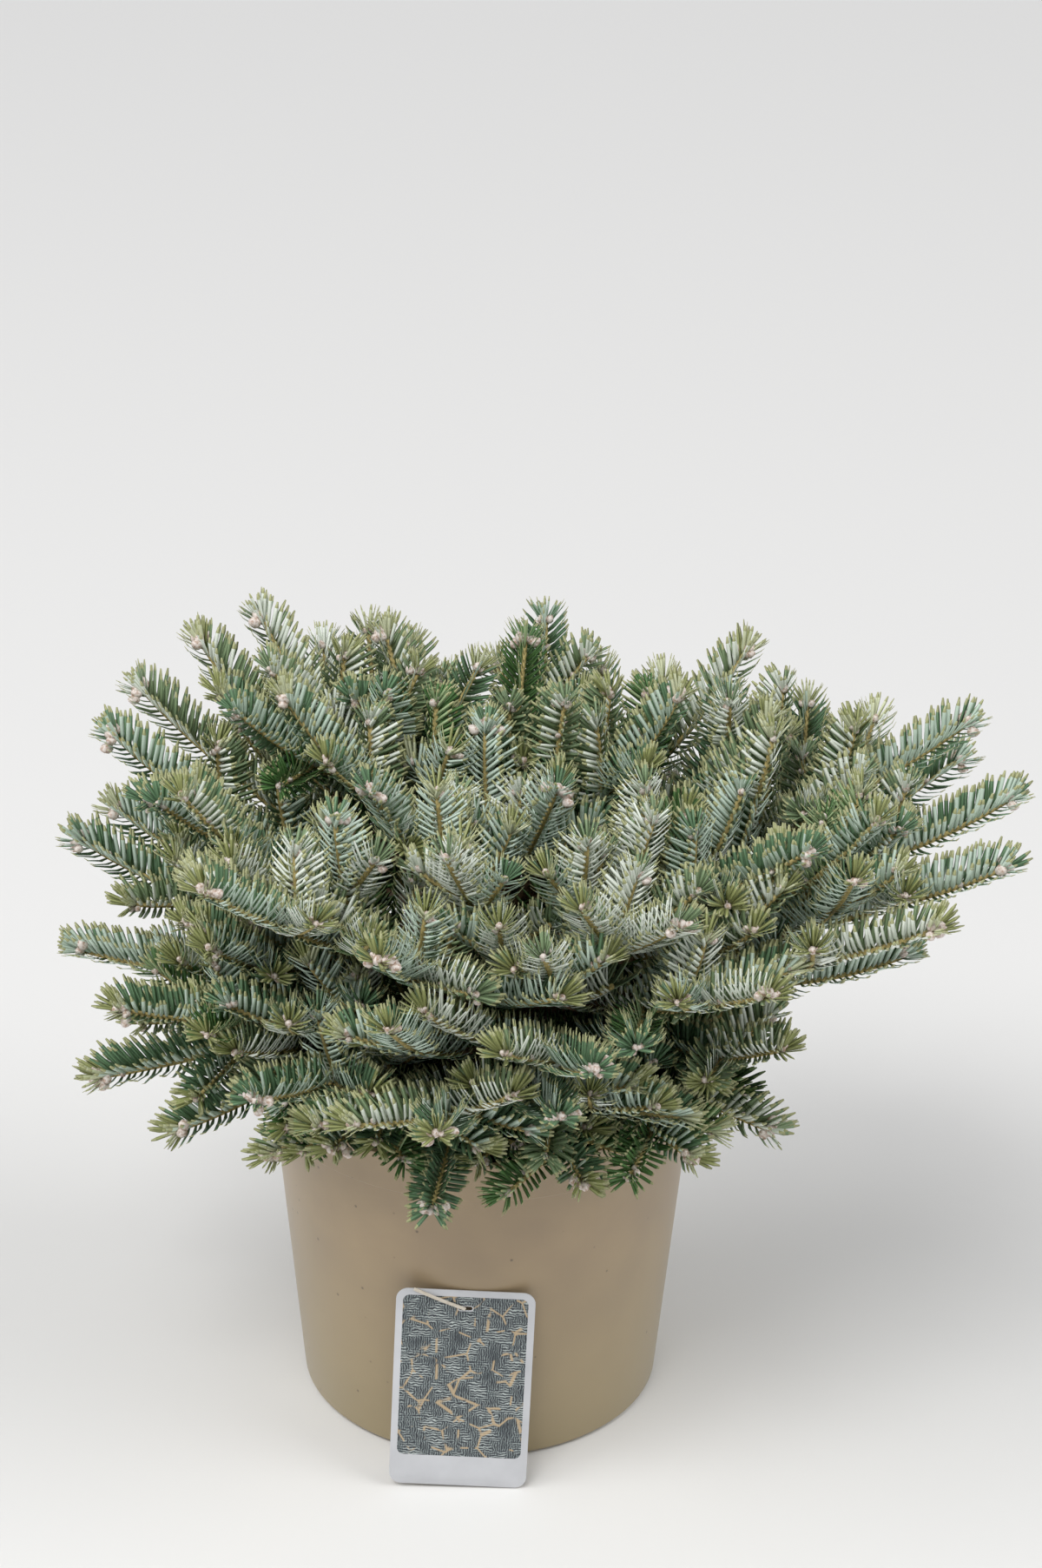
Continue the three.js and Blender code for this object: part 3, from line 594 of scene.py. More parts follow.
# The crown grows by the rule of the CAD source, in millimetres and degrees.
trunk = {"flareRadius": 19, "flareFall": 9, "footRadius": 13, "tipRadius": 5, "top": 334, "lean": (6, -5),
         "steps": 90, "sides": 72}
bough = {"footRadius": 4.6, "share": 0.26, "overlap": 0.01, "proud": 0.1, "collar": (1.5, 12), "steps": 28,
         "sides": 24}
stem = {"footRadius": 3.0, "tipRadius": 1.5, "sunk": 6, "proud": (0.15, 0.5), "swell": (1.3, 9), "steps": 14,
        "sides": 12}
growth = {  # the CAD source stops at fewer nodes and years, keeps shoots 30 apart and leaves the shade bare
    "leader": 73, "nodeGap": 51, "nodes": 8, "bareFoot": 24, "lateral": 58, "upward": 50,
    "sideYears": 3, "nextYear": 0.9, "nextFork": 0.76, "uneven": 0.12, "fork": 51, "steep": 43,
    "swing": 9, "roll": 25, "rising": 0.16, "leaderRising": 0.06, "crowding": 18.5, "margin": 9,
    "overPot": 3,  # no shoot passes so near to the pot's top and its wall
    "besidePot": 10, "potTests": 8,
    "bareSide": (120, 1.7),  # right of this x the crown's underside rises by so much
    "lowest": 178, "highest": 441, "shadeRadius": 45, "shadeTop": 330,
    "behind": {-1: 4, 1: 9, "up": 14},  # the tip, where the side shoots start and the upward one
    "steepest": 0.3,  # sine of a stem's lean from upright, under which its sides are taken from y
}
hanging = {  # short shoots that hang from the low ones past the pot's rim
    "length": 46,
    "shares": (0.3, 0.55, 0.8),  # where along a low shoot they start
    "from": (96, 170),  # how far out they start
    "under": 270,  # and how high at most
    "near": 20,  # height over that in which shoots are looked at
    "aside": (10, 80),  # off straight outward
    "steep": 0.2, "uneven": 0.4,
    "reach": 170,  # how far out they end at most
    "lowest": 203, "crowding": 14,
}
crownHeight = 235
arch = {"low": -9, "high": 15, "over": 0.16, "under": -0.1}
# Each mass's foremost bud, seen from crownHeight on the pot's axis: azimuth, rise and reach. Then the height
# of its root on the trunk, where the CAD source finds room for it.
masses = [
    ("low_back_right", 36, 6, 201, 233.07), ("low_back", 74, 8, 168, 235.53),
    ("low_back_left", 112, 7, 160, 234.3), ("low_left_back", 150, 5, 198, 231.84),
    ("low_left", 179, 10, 241, 243.99), ("low_left_front", -160, 1, 230, 236.92),
    ("low_left_lower", -148, -4, 201, 229), ("low_front_left", -134, -7, 169, 222),
    ("low_front_middle", -118, 1, 170, 228.92), ("low_front", -98, -6, 180, 222),
    ("low_front_inner", -78, 15, 217, 244.14), ("low_front_right", -69, -6, 162, 222),
    ("low_right_lower", -48, -4, 176, 229), ("low_right_front", -28, -6, 187, 222),
    ("low_right", -6, 14, 253, 242.91), ("mid_right", 1, 26, 336, 264.67),
    ("mid_right_back", 18, 24, 325, 255.21), ("mid_back_right", 62, 28, 190, 260.13),
    ("mid_back", 103, 30, 180, 262.59), ("mid_left_back", 158, 21, 258, 251.52),
    ("mid_left", 173, 23, 260, 257.98), ("mid_left_inner", -156, 32, 171, 265.05),
    ("mid_left_front", -151, 16, 236, 248.37), ("mid_front_left", -122, 14, 232, 242.91),
    ("mid_front_outer", -95, 15, 245, 237.14), ("mid_front", -76, 23, 269, 253.98),
    ("mid_front_inner", -53, 27, 281, 264.9), ("mid_front_right", -30, 26, 312, 255.67),
    ("mid_right_front", -16, 26, 332, 274.67), ("high_right", 9, 32, 334, 284.05),
    ("high_right_back", 32, 48, 269, 289.73), ("high_back", 78, 62, 227, 299.95),
    ("high_back_left", 121, 60, 236, 307.49), ("high_left_back", 145, 53, 272, 300.88),
    ("high_left_upper", 153, 47, 280, 292.5), ("high_left", 161, 40, 281, 282.89),
    ("high_left_outer", 175, 39, 276, 273.66), ("high_left_front", -128, 37, 291, 276.2),
    ("high_front", -104, 35, 259, 268.74), ("high_front_right", -60, 37, 261, 277.2),
    ("high_right_front", -34, 39, 271, 287.66), ("top_middle", 0, 90, 189, 321.39),
    ("top_right", 10, 61, 231, 300.72), ("top_left", 173, 60, 232, 313.49),
    ("top_front_left", -129, 62, 208, 301.95), ("top_front", -56, 68, 192, 309.33),
]
onBoughs = {"mid_right", "mid_right_back", "mid_front_inner", "mid_front_right", "mid_right_front",
            "high_right", "high_left_upper", "high_left", "high_left_front"}
upright = np.array([0.0, 0.0, 1.0])
soilTop = 197.3  # where the trunk meets the soil
scatter = (12.9898, 78.233, 37.719, 43758.5453)
# The keys that tell one draw from another, and how the shoots of a mass are counted.
keys = {"leader": (3, 0), "gap": 7, "roll": 11, "fork": 5, "lateral": 9, "steep": 23, "rank": 31,
        "aside": 41, "fall": 51, "hanging": 61, "spread": 997, "whorl": 100, "place": 10, "up": 50}


def chance(*draw):  # an even draw from 0 to 1 that belongs to its keys, the mass's number and its own
    s = math.sin(sum(k * w for k, w in zip(draw, scatter[:3]))) * scatter[3]
    return s - math.floor(s)


def either(*draw):
    return 2 * chance(*draw) - 1


def about(length, *draw):
    return length * (1 + growth["uneven"] * either(*draw))


curve = {"steps": 201, "nearby": 1e-4}


class Curve:  # a quadratic Bezier line, also measured along its own length
    def __init__(self, a, b, c):
        self.a, self.b, self.c = (np.array(p, float) for p in (a, b, c))
        self.steps = np.linspace(0, 1, curve["steps"])
        gaps = np.linalg.norm(np.diff(self.at(self.steps), axis=0), axis=1)
        self.lengths = np.concatenate([[0], np.cumsum(gaps)])
        self.full = self.lengths[-1]

    def at(self, t):
        t = np.asarray(t, float)[..., None]
        return (1 - t) ** 2 * self.a + 2 * (1 - t) * t * self.b + t ** 2 * self.c

    def along(self, share):  # the point at a share of the length
        return self.at(np.interp(np.asarray(share) * self.full, self.lengths, self.steps))

    def tangent(self, share):
        t = np.interp(share * self.full, self.lengths, self.steps)
        return unit(self.at(min(t + curve["nearby"], 1)) - self.at(max(t - curve["nearby"], 0)))


trunkLine = Curve((0, 0, soilTop), (0, 0, (soilTop + trunk["top"]) / 2), (*trunk["lean"], trunk["top"]))


def trunkRadius(t):
    flare = (trunk["flareRadius"] - trunk["footRadius"]) * np.exp(-t * trunk["flareFall"])
    return mix(trunk["footRadius"], trunk["tipRadius"], t) + flare


def stemLine(mass):
    azimuth, rise = math.radians(mass["azimuth"]), math.radians(mass["rise"])
    tip = np.array([math.cos(azimuth) * math.cos(rise), math.sin(azimuth) * math.cos(rise), math.sin(rise)])
    tip = tip * mass["reach"] + (0, 0, crownHeight)
    root = trunkLine.at((mass["root"] - soilTop) / (trunk["top"] - soilTop))
    steep = min(max((mass["rise"] - arch["low"]) / (arch["high"] - arch["low"]), 0), 1)
    bend = mix(arch["over"], arch["under"], steep) * np.linalg.norm(tip - root)
    return Curve(root, (root + tip) / 2 + upright * bend, tip)


def shaded(place):
    return place[2] < growth["shadeTop"] and math.hypot(place[0], place[1]) < growth["shadeRadius"]


def newShoot(mass, parent, start, end, over, age, level, rank=0):
    return {"mass": mass, "parent": parent, "start": start, "end": end, "over": over, "age": age,
            "level": level, "rank": rank}


def grow(shoots, parent, code, start, heading, over, years, length, level):
    mass = parent["mass"]
    number = mass["number"]
    swing = [growth["swing"] * either(number, code, n) for n in range(4)]
    along = unit(heading + upright * growth["rising"])
    end = start + along * length
    rank = chance(number, code, keys["rank"])
    shoot = newShoot(mass, parent, start, end, over, years - 1, level, rank)
    shoots.append(shoot)
    if years < 2:
        return
    leader = turned(along, over, swing[1]) + upright * growth["leaderRising"]
    grow(shoots, shoot, code * 4 + 1, end, leader, over, years - 1, length * growth["nextYear"], level)
    for hand in (-1, 1):
        sideways = turned(along, over, hand * (growth["fork"] + swing[2 + hand]))
        foot = end - along * growth["behind"][hand]
        grow(shoots, shoot, code * 4 + 2 + (hand + 1) // 2, foot, sideways, over, years - 1,
             length * growth["nextFork"], level + 1)


def whorls(mass):
    line, number = mass["line"], mass["number"]
    foot = bough["share"] * line.full if mass["bough"] else growth["bareFoot"]
    last = foot + growth["behind"]["up"] + stem["sunk"]
    cuts = [line.full, line.full - about(growth["leader"], number, *keys["leader"])]
    while len(cuts) < growth["nodes"]:
        following = cuts[-1] - about(growth["nodeGap"], number, len(cuts), keys["gap"])
        if following < last or shaded(line.along(cuts[-1] / line.full)):
            break
        cuts.append(following)
    return cuts


def shootsOf(mass):
    line, number = mass["line"], mass["number"]
    cuts = whorls(mass)
    mass["bare"] = cuts[-1]
    places = [line.along(distance / line.full) for distance in cuts]
    shoots, shoot = [], None
    back = line.tangent(mass["bare"] / line.full)
    for k in range(len(places) - 2, -1, -1):
        end, start = places[k], places[k + 1]
        along = unit(end - start)
        side = np.cross(along, upright)
        if np.linalg.norm(side) < growth["steepest"]:
            side = np.cross(along, (0, 1, 0))
        roll = growth["roll"] * either(number, k, keys["roll"])
        over = turned(np.cross(unit(side), along), along, roll)
        code = keys["whorl"] * (k + 1)
        years = min(k + 1, growth["sideYears"])
        shoot = newShoot(mass, shoot, start, end, over, k, 0)
        shoots.append(shoot)
        for hand in (-1, 1):
            angle = growth["fork"] + growth["swing"] * either(number, k, hand + keys["fork"])
            length = about(growth["lateral"], number, k, hand + keys["lateral"])
            grow(shoots, shoot, code + keys["place"] * (hand + 2), start - back * growth["behind"][hand],
                 turned(along, over, hand * angle), over, years, length, 1)
        across = unit(np.cross(along, over))
        angle = growth["steep"] + growth["swing"] * either(number, k, keys["steep"])
        grow(shoots, shoot, code + keys["up"], start - back * growth["behind"]["up"],
             turned(along, across, angle), over, years, growth["upward"], 1)
        back = along
    return shoots


def throughPot(shoot):  # whether a shoot would cut the pot's wall
    share = np.linspace(0, 1, growth["potTests"])[:, None]
    x, y, z = mix(shoot["start"], shoot["end"], share).T
    beside = np.abs(np.hypot(x, y) - pot["bandRadius"]) < growth["besidePot"]
    return ((z < pot["height"] + growth["overPot"]) & beside).any()


def beyondReach(place):  # outside the box of the CAD crown, less the length of the needles, or under it
    low, high = (np.array(corner[:2]) / mm for corner in cadBox)
    edge, rising = growth["bareSide"]
    if place[2] < growth["lowest"] + rising * max(place[0] - edge, 0):
        return True
    return (place[:2] < low + growth["margin"]).any() or (place[:2] > high - growth["margin"]).any()


def thinned(shoots):
    taken, kept, keptIds = [], [], set()
    for shoot in sorted(shoots, key=lambda s: (s["level"], -s["age"], s["rank"])):
        end = shoot["end"]
        if shoot["level"] > 0:
            orphan = id(shoot["parent"]) not in keptIds
            outside = not growth["lowest"] <= end[2] <= growth["highest"] or beyondReach(end)
            if orphan or outside or shaded(end) or throughPot(shoot):
                continue
            if np.linalg.norm(np.array(taken) - end, axis=1).min() < growth["crowding"]:
                continue
        kept.append(shoot)
        keptIds.add(id(shoot))
        taken += [end, (shoot["start"] + end) / 2]
    return kept


# Short shoots in the shade under the low ones, which hang outward over the rim and hide it.
def hangingOf(kept):
    added = []
    lookedAt = hanging["under"] + hanging["near"]
    low = [shoot for shoot in kept if min(shoot["start"][2], shoot["end"][2]) < lookedAt]
    taken = [place for shoot in low for place in (shoot["end"], (shoot["start"] + shoot["end"]) / 2)]
    nearest, furthest = hanging["from"]
    for shoot in low:
        number, key = shoot["mass"]["number"], keys["spread"] * shoot["rank"] + shoot["age"]
        for n, share in enumerate(hanging["shares"]):
            foot = mix(shoot["start"], shoot["end"], share)
            out = math.hypot(foot[0], foot[1])
            if foot[2] > hanging["under"] or not nearest < out < furthest:
                continue
            aside = mix(*hanging["aside"], chance(number, key, keys["aside"] + n))
            aside = aside * (-1) ** (n + shoot["age"])
            away = turned(np.array([foot[0], foot[1], 0]) / out, upright, aside)
            steep = hanging["steep"] * (1 + hanging["uneven"] * either(number, key, keys["fall"] + n))
            length = about(hanging["length"], number, key, keys["hanging"] + n)
            end = foot + unit(away - upright * steep) * length
            gap = np.linalg.norm(np.array(taken) - end, axis=1).min()
            if end[2] < hanging["lowest"] or gap < hanging["crowding"] or beyondReach(end):
                continue
            twig = newShoot(shoot["mass"], shoot, foot, end, upright, 0, shoot["level"] + 1)
            if math.hypot(end[0], end[1]) > hanging["reach"] or throughPot(twig):
                continue
            added.append(twig)
            taken += [end, (foot + end) / 2]
    return added


stems = [{"name": name, "number": n + 1, "azimuth": azimuth, "rise": rise, "reach": reach, "root": root,
          "bough": name in onBoughs} for n, (name, azimuth, rise, reach, root) in enumerate(masses)]
for mass in stems:
    mass["line"] = stemLine(mass)
shoots = thinned([shoot for mass in stems for shoot in shootsOf(mass)])
shoots += hangingOf(shoots)
foliageNodes = ["foliage_" + mass["name"] for mass in stems]
boughNodes = ["bough_" + mass["name"] for mass in stems if mass["bough"]]
print("the crown has", len(shoots), "shoots")


wood = {
    "sides": 7, "steps": 5,
    "level": 0.9,  # steeper lines than that rise have their sides taken from x
    "tip": 1.35,  # radius of a shoot's tip in its first year, and what each year adds
    "perYear": 0.3,
    "footYears": 0.8,  # by how many years its foot is thicker
    "sunk": 0.02,  # share of its length inside the older wood
    "bow": 0.035,  # how far a shoot sags between its ends, as a share of its length
    "bowRange": (0.4, 0.9),  # least share of that, and how much more at most
    "relief": 0.5,  # of the trunk's bark
    "ridge": 4.5,  # size of its blisters and wrinkles
    "squat": 1.8,  # how much wider than high they are
    "ridgeNoise": (0.8, 2.1, 3),  # roughness, lacunarity and octaves
    "ridgeLevel": 0.2,
    "look": {"detail": 4, "roughness": 0.8, "ior": 1.45, "bump": 0.5, "depth": 0.4},
    "stops": (0.34, 0.62),
    "bark": ("4E4236", "7D6E5C", 3.5),  # dark and light, and the size of their streaks
    "old": ("54402E", "7A6248", 2.5), "young": ("887949", "B6A56C", 2),
}


# A closed surface through rings of points: its vertices and its faces of four and of three corners.
def closedRings(rings, foot, tip):
    count, sides = len(rings), len(rings[0])
    k = np.arange(sides)
    nxt = (k + 1) % sides
    quads = [np.stack([n * sides + k, n * sides + nxt, (n + 1) * sides + nxt, (n + 1) * sides + k], 1)
             for n in range(count - 1)]
    last, end = (count - 1) * sides, count * sides
    caps = [np.stack([np.full(sides, end), nxt, k], 1),
            np.stack([np.full(sides, end + 1), last + k, last + nxt], 1)]
    return np.concatenate([*rings, [foot], [tip]]), np.concatenate(quads), np.concatenate(caps)


def circle(sides):
    return np.arange(sides) * 2 * math.pi / sides


def tube(points, radii, sides):
    ahead = unit(np.gradient(points, axis=0))
    level = abs(ahead[0][2]) < wood["level"]
    side = unit(np.cross(ahead[0], upright if level else (1.0, 0, 0)))
    rings = []
    for point, along, radius in zip(points, ahead, radii):
        side = unit(side - along * np.dot(side, along))
        rings.append(point + radius * between(side, np.cross(along, side), circle(sides)))
    return closedRings(rings, points[0], points[-1])


def joined(name, parts):
    points, quads, ends, shift = [], [], [], 0
    for vertices, four, three in parts:
        points.append(vertices)
        quads.append(four + shift)
        ends.append(three + shift)
        shift += len(vertices)
    mesh = arrayMesh(name, np.concatenate(points), [np.concatenate(quads), np.concatenate(ends)])
    mesh.shade_smooth()
    return mesh


def shootPoints(shoot, share):  # points of a shoot's own gentle bow
    start, end = shoot["start"], shoot["end"]
    share = np.asarray(share)[:, None]
    least, more = wood["bowRange"]
    sag = wood["bow"] * np.linalg.norm(end - start) * (least + more * shoot["sag"])
    return start + share * (end - start) - shoot["over"] * sag * 4 * share * (1 - share)


def shootTube(shoot):
    years = (shoot["age"] + wood["footYears"], shoot["age"])
    foot, tip = (wood["tip"] + wood["perYear"] * age for age in years)
    share = np.linspace(-wood["sunk"], 1, wood["steps"])
    return tube(shootPoints(shoot, share), mix(foot, tip, share), wood["sides"])


def stemTube(mass):
    line, onBough = mass["line"], mass["bough"]
    last = (mass["bare"] + stem["sunk"]) / line.full
    share = np.linspace(bough["share"] - bough["overlap"] if onBough else 0, last, stem["steps"])
    footProud, tipProud = stem["proud"]
    swell, fall = stem["swell"]
    radii = mix(stem["footRadius"] + (footProud if onBough else 0), stem["tipRadius"] + tipProud, share)
    radii = radii + (0 if onBough else swell * np.exp(-share * line.full / fall))
    return tube(line.along(share), radii, stem["sides"])


def boughTube(mass):
    share = np.linspace(0, bough["share"], bough["steps"])
    radii = mix(bough["footRadius"], stem["footRadius"] + bough["proud"], share / bough["share"])
    collar, fall = bough["collar"]  # where it leaves the trunk
    radii = radii + collar * np.exp(-share * mass["line"].full / fall)
    return tube(mass["line"].along(share), radii, bough["sides"])


def trunkTube():
    t = np.linspace(0, 1, trunk["steps"])
    return tube(trunkLine.at(t), trunkRadius(t), trunk["sides"])


def roughened(mesh):  # blisters and wrinkles of the bark as real relief
    normals = [v.normal.copy() for v in mesh.vertices]
    for v, normal in zip(mesh.vertices, normals):
        place = v.co / mm / wood["ridge"]
        squat = Vector((place.x, place.y, place.z * wood["squat"]))
        height = noise.fractal(squat, *wood["ridgeNoise"]) - wood["ridgeLevel"]
        v.co += normal * mm * wood["relief"] * height
    return mesh


# Young fir wood: tan and matt on the last shoots, grey brown further in, always finely streaked.
def twigBark(name, kind):
    dark, light, grain = wood[kind]
    return mottled(name, light, list(zip(wood["stops"], (dark, light))), {**wood["look"], "grain": grain})


crownSeed = 11
rng = np.random.default_rng(crownSeed)
for shoot in shoots:
    shoot["sag"] = rng.random()
bark = twigBark("young fir bark", "bark")
boughs = joined("boughBark", [boughTube(mass) for mass in stems if mass["bough"]])
oldWood = [stemTube(mass) for mass in stems] + [shootTube(s) for s in shoots if s["age"] > 1]
youngWood = [shootTube(s) for s in shoots if s["age"] < 2]
oldBark, youngBark = twigBark("grown twig bark", "old"), twigBark("young twig bark", "young")
placed("trunkBark", roughened(joined("trunkBark", [trunkTube()])), [bark], ["trunk"])
placed("boughBark", roughened(boughs), [bark], boughNodes)
placed("oldTwigs", joined("oldTwigs", oldWood), [oldBark], foliageNodes)
placed("youngTwigs", joined("youngTwigs", youngWood), [youngBark], foliageNodes)
print("trunk, boughs and twigs are grown")


needle = {
    "length": 24, "halfWidth": 1.27,
    "slim": 0.82,  # share of that width in the shade
    "keel": 0.5,  # how far the underside's midrib stands out
    "sections": (0, 0.3, 0.82, 1.0),  # where along it the outline is given
    "widths": (0.42, 1.0, 0.95, 0.42),
    "keels": (0.4, 1.0, 0.9, 0.25),
    "perMm": (1.3, 1.15, 0.8, 0.5, 0.45),  # along shoots by age in years
    "clad": (0.03, 0.97, 0.95),  # where on a shoot they begin, and on what share of a young and an old one
    "jitter": 0.4,
    "turns": (36, 144),  # the first one's, and from one to the next, so that they stand in five rows
    "spread": (130, 172),  # how far round from straight up they sit, on a level shoot and an upright one
    "lean": (80, 60),  # from the twig, at the shoot's foot and tip
    "bend": 10,  # each towards the shoot's tip
    "curl": 0.58,
    "twist": (12, 52),  # along the shoot and in the tuft
    "drift": {"rows": 7, "turn": 4, "lean": 3, "twist": 9},  # spread of their draws, in degrees
    "lengths": (0.91, 1.06),  # and least and most of the draws for length and curl
    "curls": (0.8, 1.15),
    "short": (0.8, 62),  # share of the length on the shortest shoots, and the shoot where it is full
    "foot": (0.82, 0.12),  # and at a shoot's foot
    "under": {"from": 75, "over": 50, "lean": 14, "length": 0.88},  # those on a shoot's lower side
    # Round the bud: how many more, from which share of the shoot on, and how much they draw in to its tip.
    "tuft": {"count": 15, "from": 0.93, "turn": 137.5, "zone": 0.18, "lean": 22, "length": 0.76,
             "width": 0.85, "curl": 0.25, "tip": 0.55},
    "onStems": {"from": 40, "share": 0.6, "piece": 35, "sag": -0.4},
    "clear": {"over": 1, "inside": 7, "soil": 4},  # of the pot's rim and of the soil
    "perPiece": 9500, "roughness": 0.42, "ior": 1.45,
    "fresh": {"silver": 0.65, "blue": 0.6, "green": 0.3, "inner": 0},  # share of sprays with yellower tips
    "kinds": {  # colour of the upper side, of the waxy underside and of the tip
        "silver": ("879D76", "F4FAEF", "ABAD80"),
        "blue": ("6B8C69", "D2E4D5", "ABAD80"),
        "green": ("587F48", "A9BF90", "ABAD80"),
        "young": ("9AA068", "DCE0BE", "ABAD80"),
        # inner: darkened tones, painted shade for the sprays inside the crown
        "inner": ("27401E", "496838", "53653A"),
    },
}
lightDealing = {  # how the sprays get their kinds, each up to its share of the draws. The kinds are the fir's own tones, but they are dealt by a guess of the light each spray gets: more pale silver sprays where it is lit is painted light, and the dark green and inner sprays in the dim parts and the heart are painted shade
    "heart": (110, 335),  # radius and top of the crown's shaded heart
    "heartKinds": (("inner", 0.85), ("green", 1)),
    "light": (215, 150),  # height without light, and over how much it grows to full light
    "leading": 0.15,  # more light on a leading shoot, and less for each further year
    "aged": 0.4,
    "dim": 0.16,
    "dimKinds": (("green", 0.6), ("inner", 0.85), ("blue", 1)),
    "silver": (0.34, 0.2),  # share in the light, and how much more in full light
    "litKinds": (("blue", 0.95), ("green", 1)),
}


# Picks a spray's kind from a guess of its light, so the needles' colours carry painted light and painted
# shade.
def kindByLight(shoot):
    x, y, z = (shoot["start"] + shoot["end"]) / 2
    draw = rng.random()
    dark, over = lightDealing["light"]
    light = (z - dark) / over + (lightDealing["leading"] if shoot["level"] == 0 else 0)
    light -= lightDealing["aged"] * max(shoot["age"] - 1, 0)
    radius, top = lightDealing["heart"]
    if math.hypot(x, y) < radius and z < top:
        kinds = lightDealing["heartKinds"]
    elif light < lightDealing["dim"]:
        kinds = lightDealing["dimKinds"]
    else:
        least, more = lightDealing["silver"]
        kinds = (("silver", least + more * min(light, 1)), *lightDealing["litKinds"])
    return next(kind for kind, share in kinds if draw < share)


# The needles of one shoot: an array of their twelve points each, and which of them belong to the tip.
def needlesOf(shoot, kind):
    tuft, under, drift = needle["tuft"], needle["under"], needle["drift"]
    start, end, young = shoot["start"], shoot["end"], shoot["age"] == 0
    length = np.linalg.norm(end - start)
    along = (end - start) / length
    over = shoot["over"] + upright
    over = unit(over - along * np.dot(over, along))
    side = np.cross(along, over)
    perMm = needle["perMm"][min(shoot["age"], len(needle["perMm"]) - 1)]
    body, more = int(length * perMm), tuft["count"] if young else 0
    count = body + more
    tip = mix(tuft["from"], 1.0, np.arange(more) / max(more, 1))
    share = np.concatenate([(np.arange(body) + 0.5) / body, tip]) * needle["clad"][1 if young else 2]
    share = share + needle["clad"][0] + (rng.random(count) - 0.5) * needle["jitter"] / length
    first, turning = needle["turns"]
    turn = np.arange(count) * turning + first + rng.normal(0, drift["rows"])
    turn[body:] = np.arange(more) * tuft["turn"]
    turn = (turn % 360 - 180) * mix(*needle["spread"], max(along[2], 0) ** 2) / 180
    turn = np.radians(turn + rng.normal(0, drift["turn"], count))
    last = np.clip((share - 1) / tuft["zone"] + 1, 0, 1) if young else np.zeros(count)
    below = np.clip((np.abs(np.degrees(turn)) - under["from"]) / under["over"], 0, 1)
    lean = mix(*needle["lean"], share) - tuft["lean"] * last + rng.normal(0, drift["lean"], count)
    lean = np.radians(lean - under["lean"] * below)
    least, full = needle["short"]
    atFoot, zone = needle["foot"]
    size = needle["length"] * mix(least, 1, min(length / full, 1)) * mix(1, tuft["length"], last)
    size = size * mix(1, under["length"], below) * mix(atFoot, 1, np.clip(share / zone, 0, 1))
    size = size * rng.uniform(*needle["lengths"], count)
    curl = needle["curl"] * mix(1, tuft["curl"], last) * rng.uniform(*needle["curls"], count)
    sections = np.array(needle["sections"])
    ways = []
    for middle in (sections[1:] + sections[:-1]) / 2:
        radial = between(over, side, turn * (1 - curl * middle))
        ways.append(between(along, radial, lean - np.radians(needle["bend"]) * middle * (1 - last)))
    points = [shootPoints(shoot, share)]
    for way, step in zip(ways, np.diff(sections)):
        points.append(points[-1] + way * (size * step)[:, None])
    facing = [ways[0], unit(ways[0] + ways[1]), unit(ways[1] + ways[2]), ways[2]]
    twist = np.radians(mix(*needle["twist"], last) + rng.normal(0, drift["twist"], count))[:, None]
    hand = np.where(turn < 0, -1.0, 1.0)[:, None]
    half = needle["halfWidth"] * (needle["slim"] if kind in ("green", "inner") else 1)
    rows = []
    for point, way, width, keel in zip(points, facing, needle["widths"], needle["keels"]):
        inward = unit(along - way * (way @ along)[:, None])
        around = np.cross(inward, way)
        backward = np.sum(around * between(side, -over, turn), axis=1) < 0
        around = around * np.where(backward, -1.0, 1.0)[:, None]
        top = -hand * np.cos(twist) * around + np.sin(twist) * inward
        across = np.cross(top, way) * half * width * mix(1, tuft["width"], last)[:, None]
        rows += [point + across, point - across, point - top * needle["keel"] * keel]
    return np.stack(rows, 1), last > tuft["tip"]


def clearOfPot(points):  # leaves out needles that would stand in the pot's wall or in the soil
    near, tips = needle["clear"], points[:, [6, 9]]  # a point of each of a needle's last two rings
    beyond, z = np.hypot(tips[..., 0], tips[..., 1]) - pot["lipRadius"], tips[..., 2]
    inWall = (beyond > -near["inside"]) & (beyond < near["over"]) & (z < pot["height"] + near["over"])
    inSoil = (beyond < -near["soil"]) & (z < soil["top"])
    return points[~(inWall | inSoil).any(axis=1)]


# A needle has four rings of three points. Its faces take slot 0 above, 1 below and 2 for the pale tip tone.
needleFaces = np.array([[3 * n + a, 3 * n + b, 3 * n + 3 + b, 3 * n + 3 + a]
                        for a, b in ((0, 1), (1, 2), (2, 0)) for n in range(3)])
needleEnds = np.array([[0, 2, 1], [9, 10, 11]])
faceSlots, endSlots = [0, 0, 2, 1, 1, 2, 1, 1, 2], [1, 2]


def needleMesh(name, points):
    count = len(points)
    shifts = np.arange(count)[:, None, None] * points.shape[1]
    quads = (needleFaces + shifts).reshape(-1, 4)
    ends = (needleEnds + shifts).reshape(-1, 3)
    slots = np.concatenate([np.tile(faceSlots, count), np.tile(endSlots, count)])
    return arrayMesh(name, points.reshape(-1, 3), [quads, ends], slots)


# Older needles stay on the stems too, between the trunk and the first whorl.
def stemShoots(mass):
    line, bare, old = mass["line"], mass["bare"], needle["onStems"]
    cuts = np.linspace(min(old["from"], bare * old["share"]), bare, 2 + int(bare / old["piece"]))
    cuts = [line.along(cut / line.full) for cut in cuts]
    return [{"start": start, "end": end, "over": upright, "age": 4, "level": 2, "sag": old["sag"]}
            for start, end in zip(cuts, cuts[1:])]


sprays = {kind: [] for kind in needle["kinds"]}
for shoot in shoots + [piece for mass in stems for piece in stemShoots(mass)]:
    kind = kindByLight(shoot)
    points, atTip = needlesOf(shoot, kind)
    sprays[kind].append(points[~atTip])
    fresh = rng.random() < needle["fresh"][kind]
    sprays["young" if fresh else kind].append(points[atTip])
total = 0
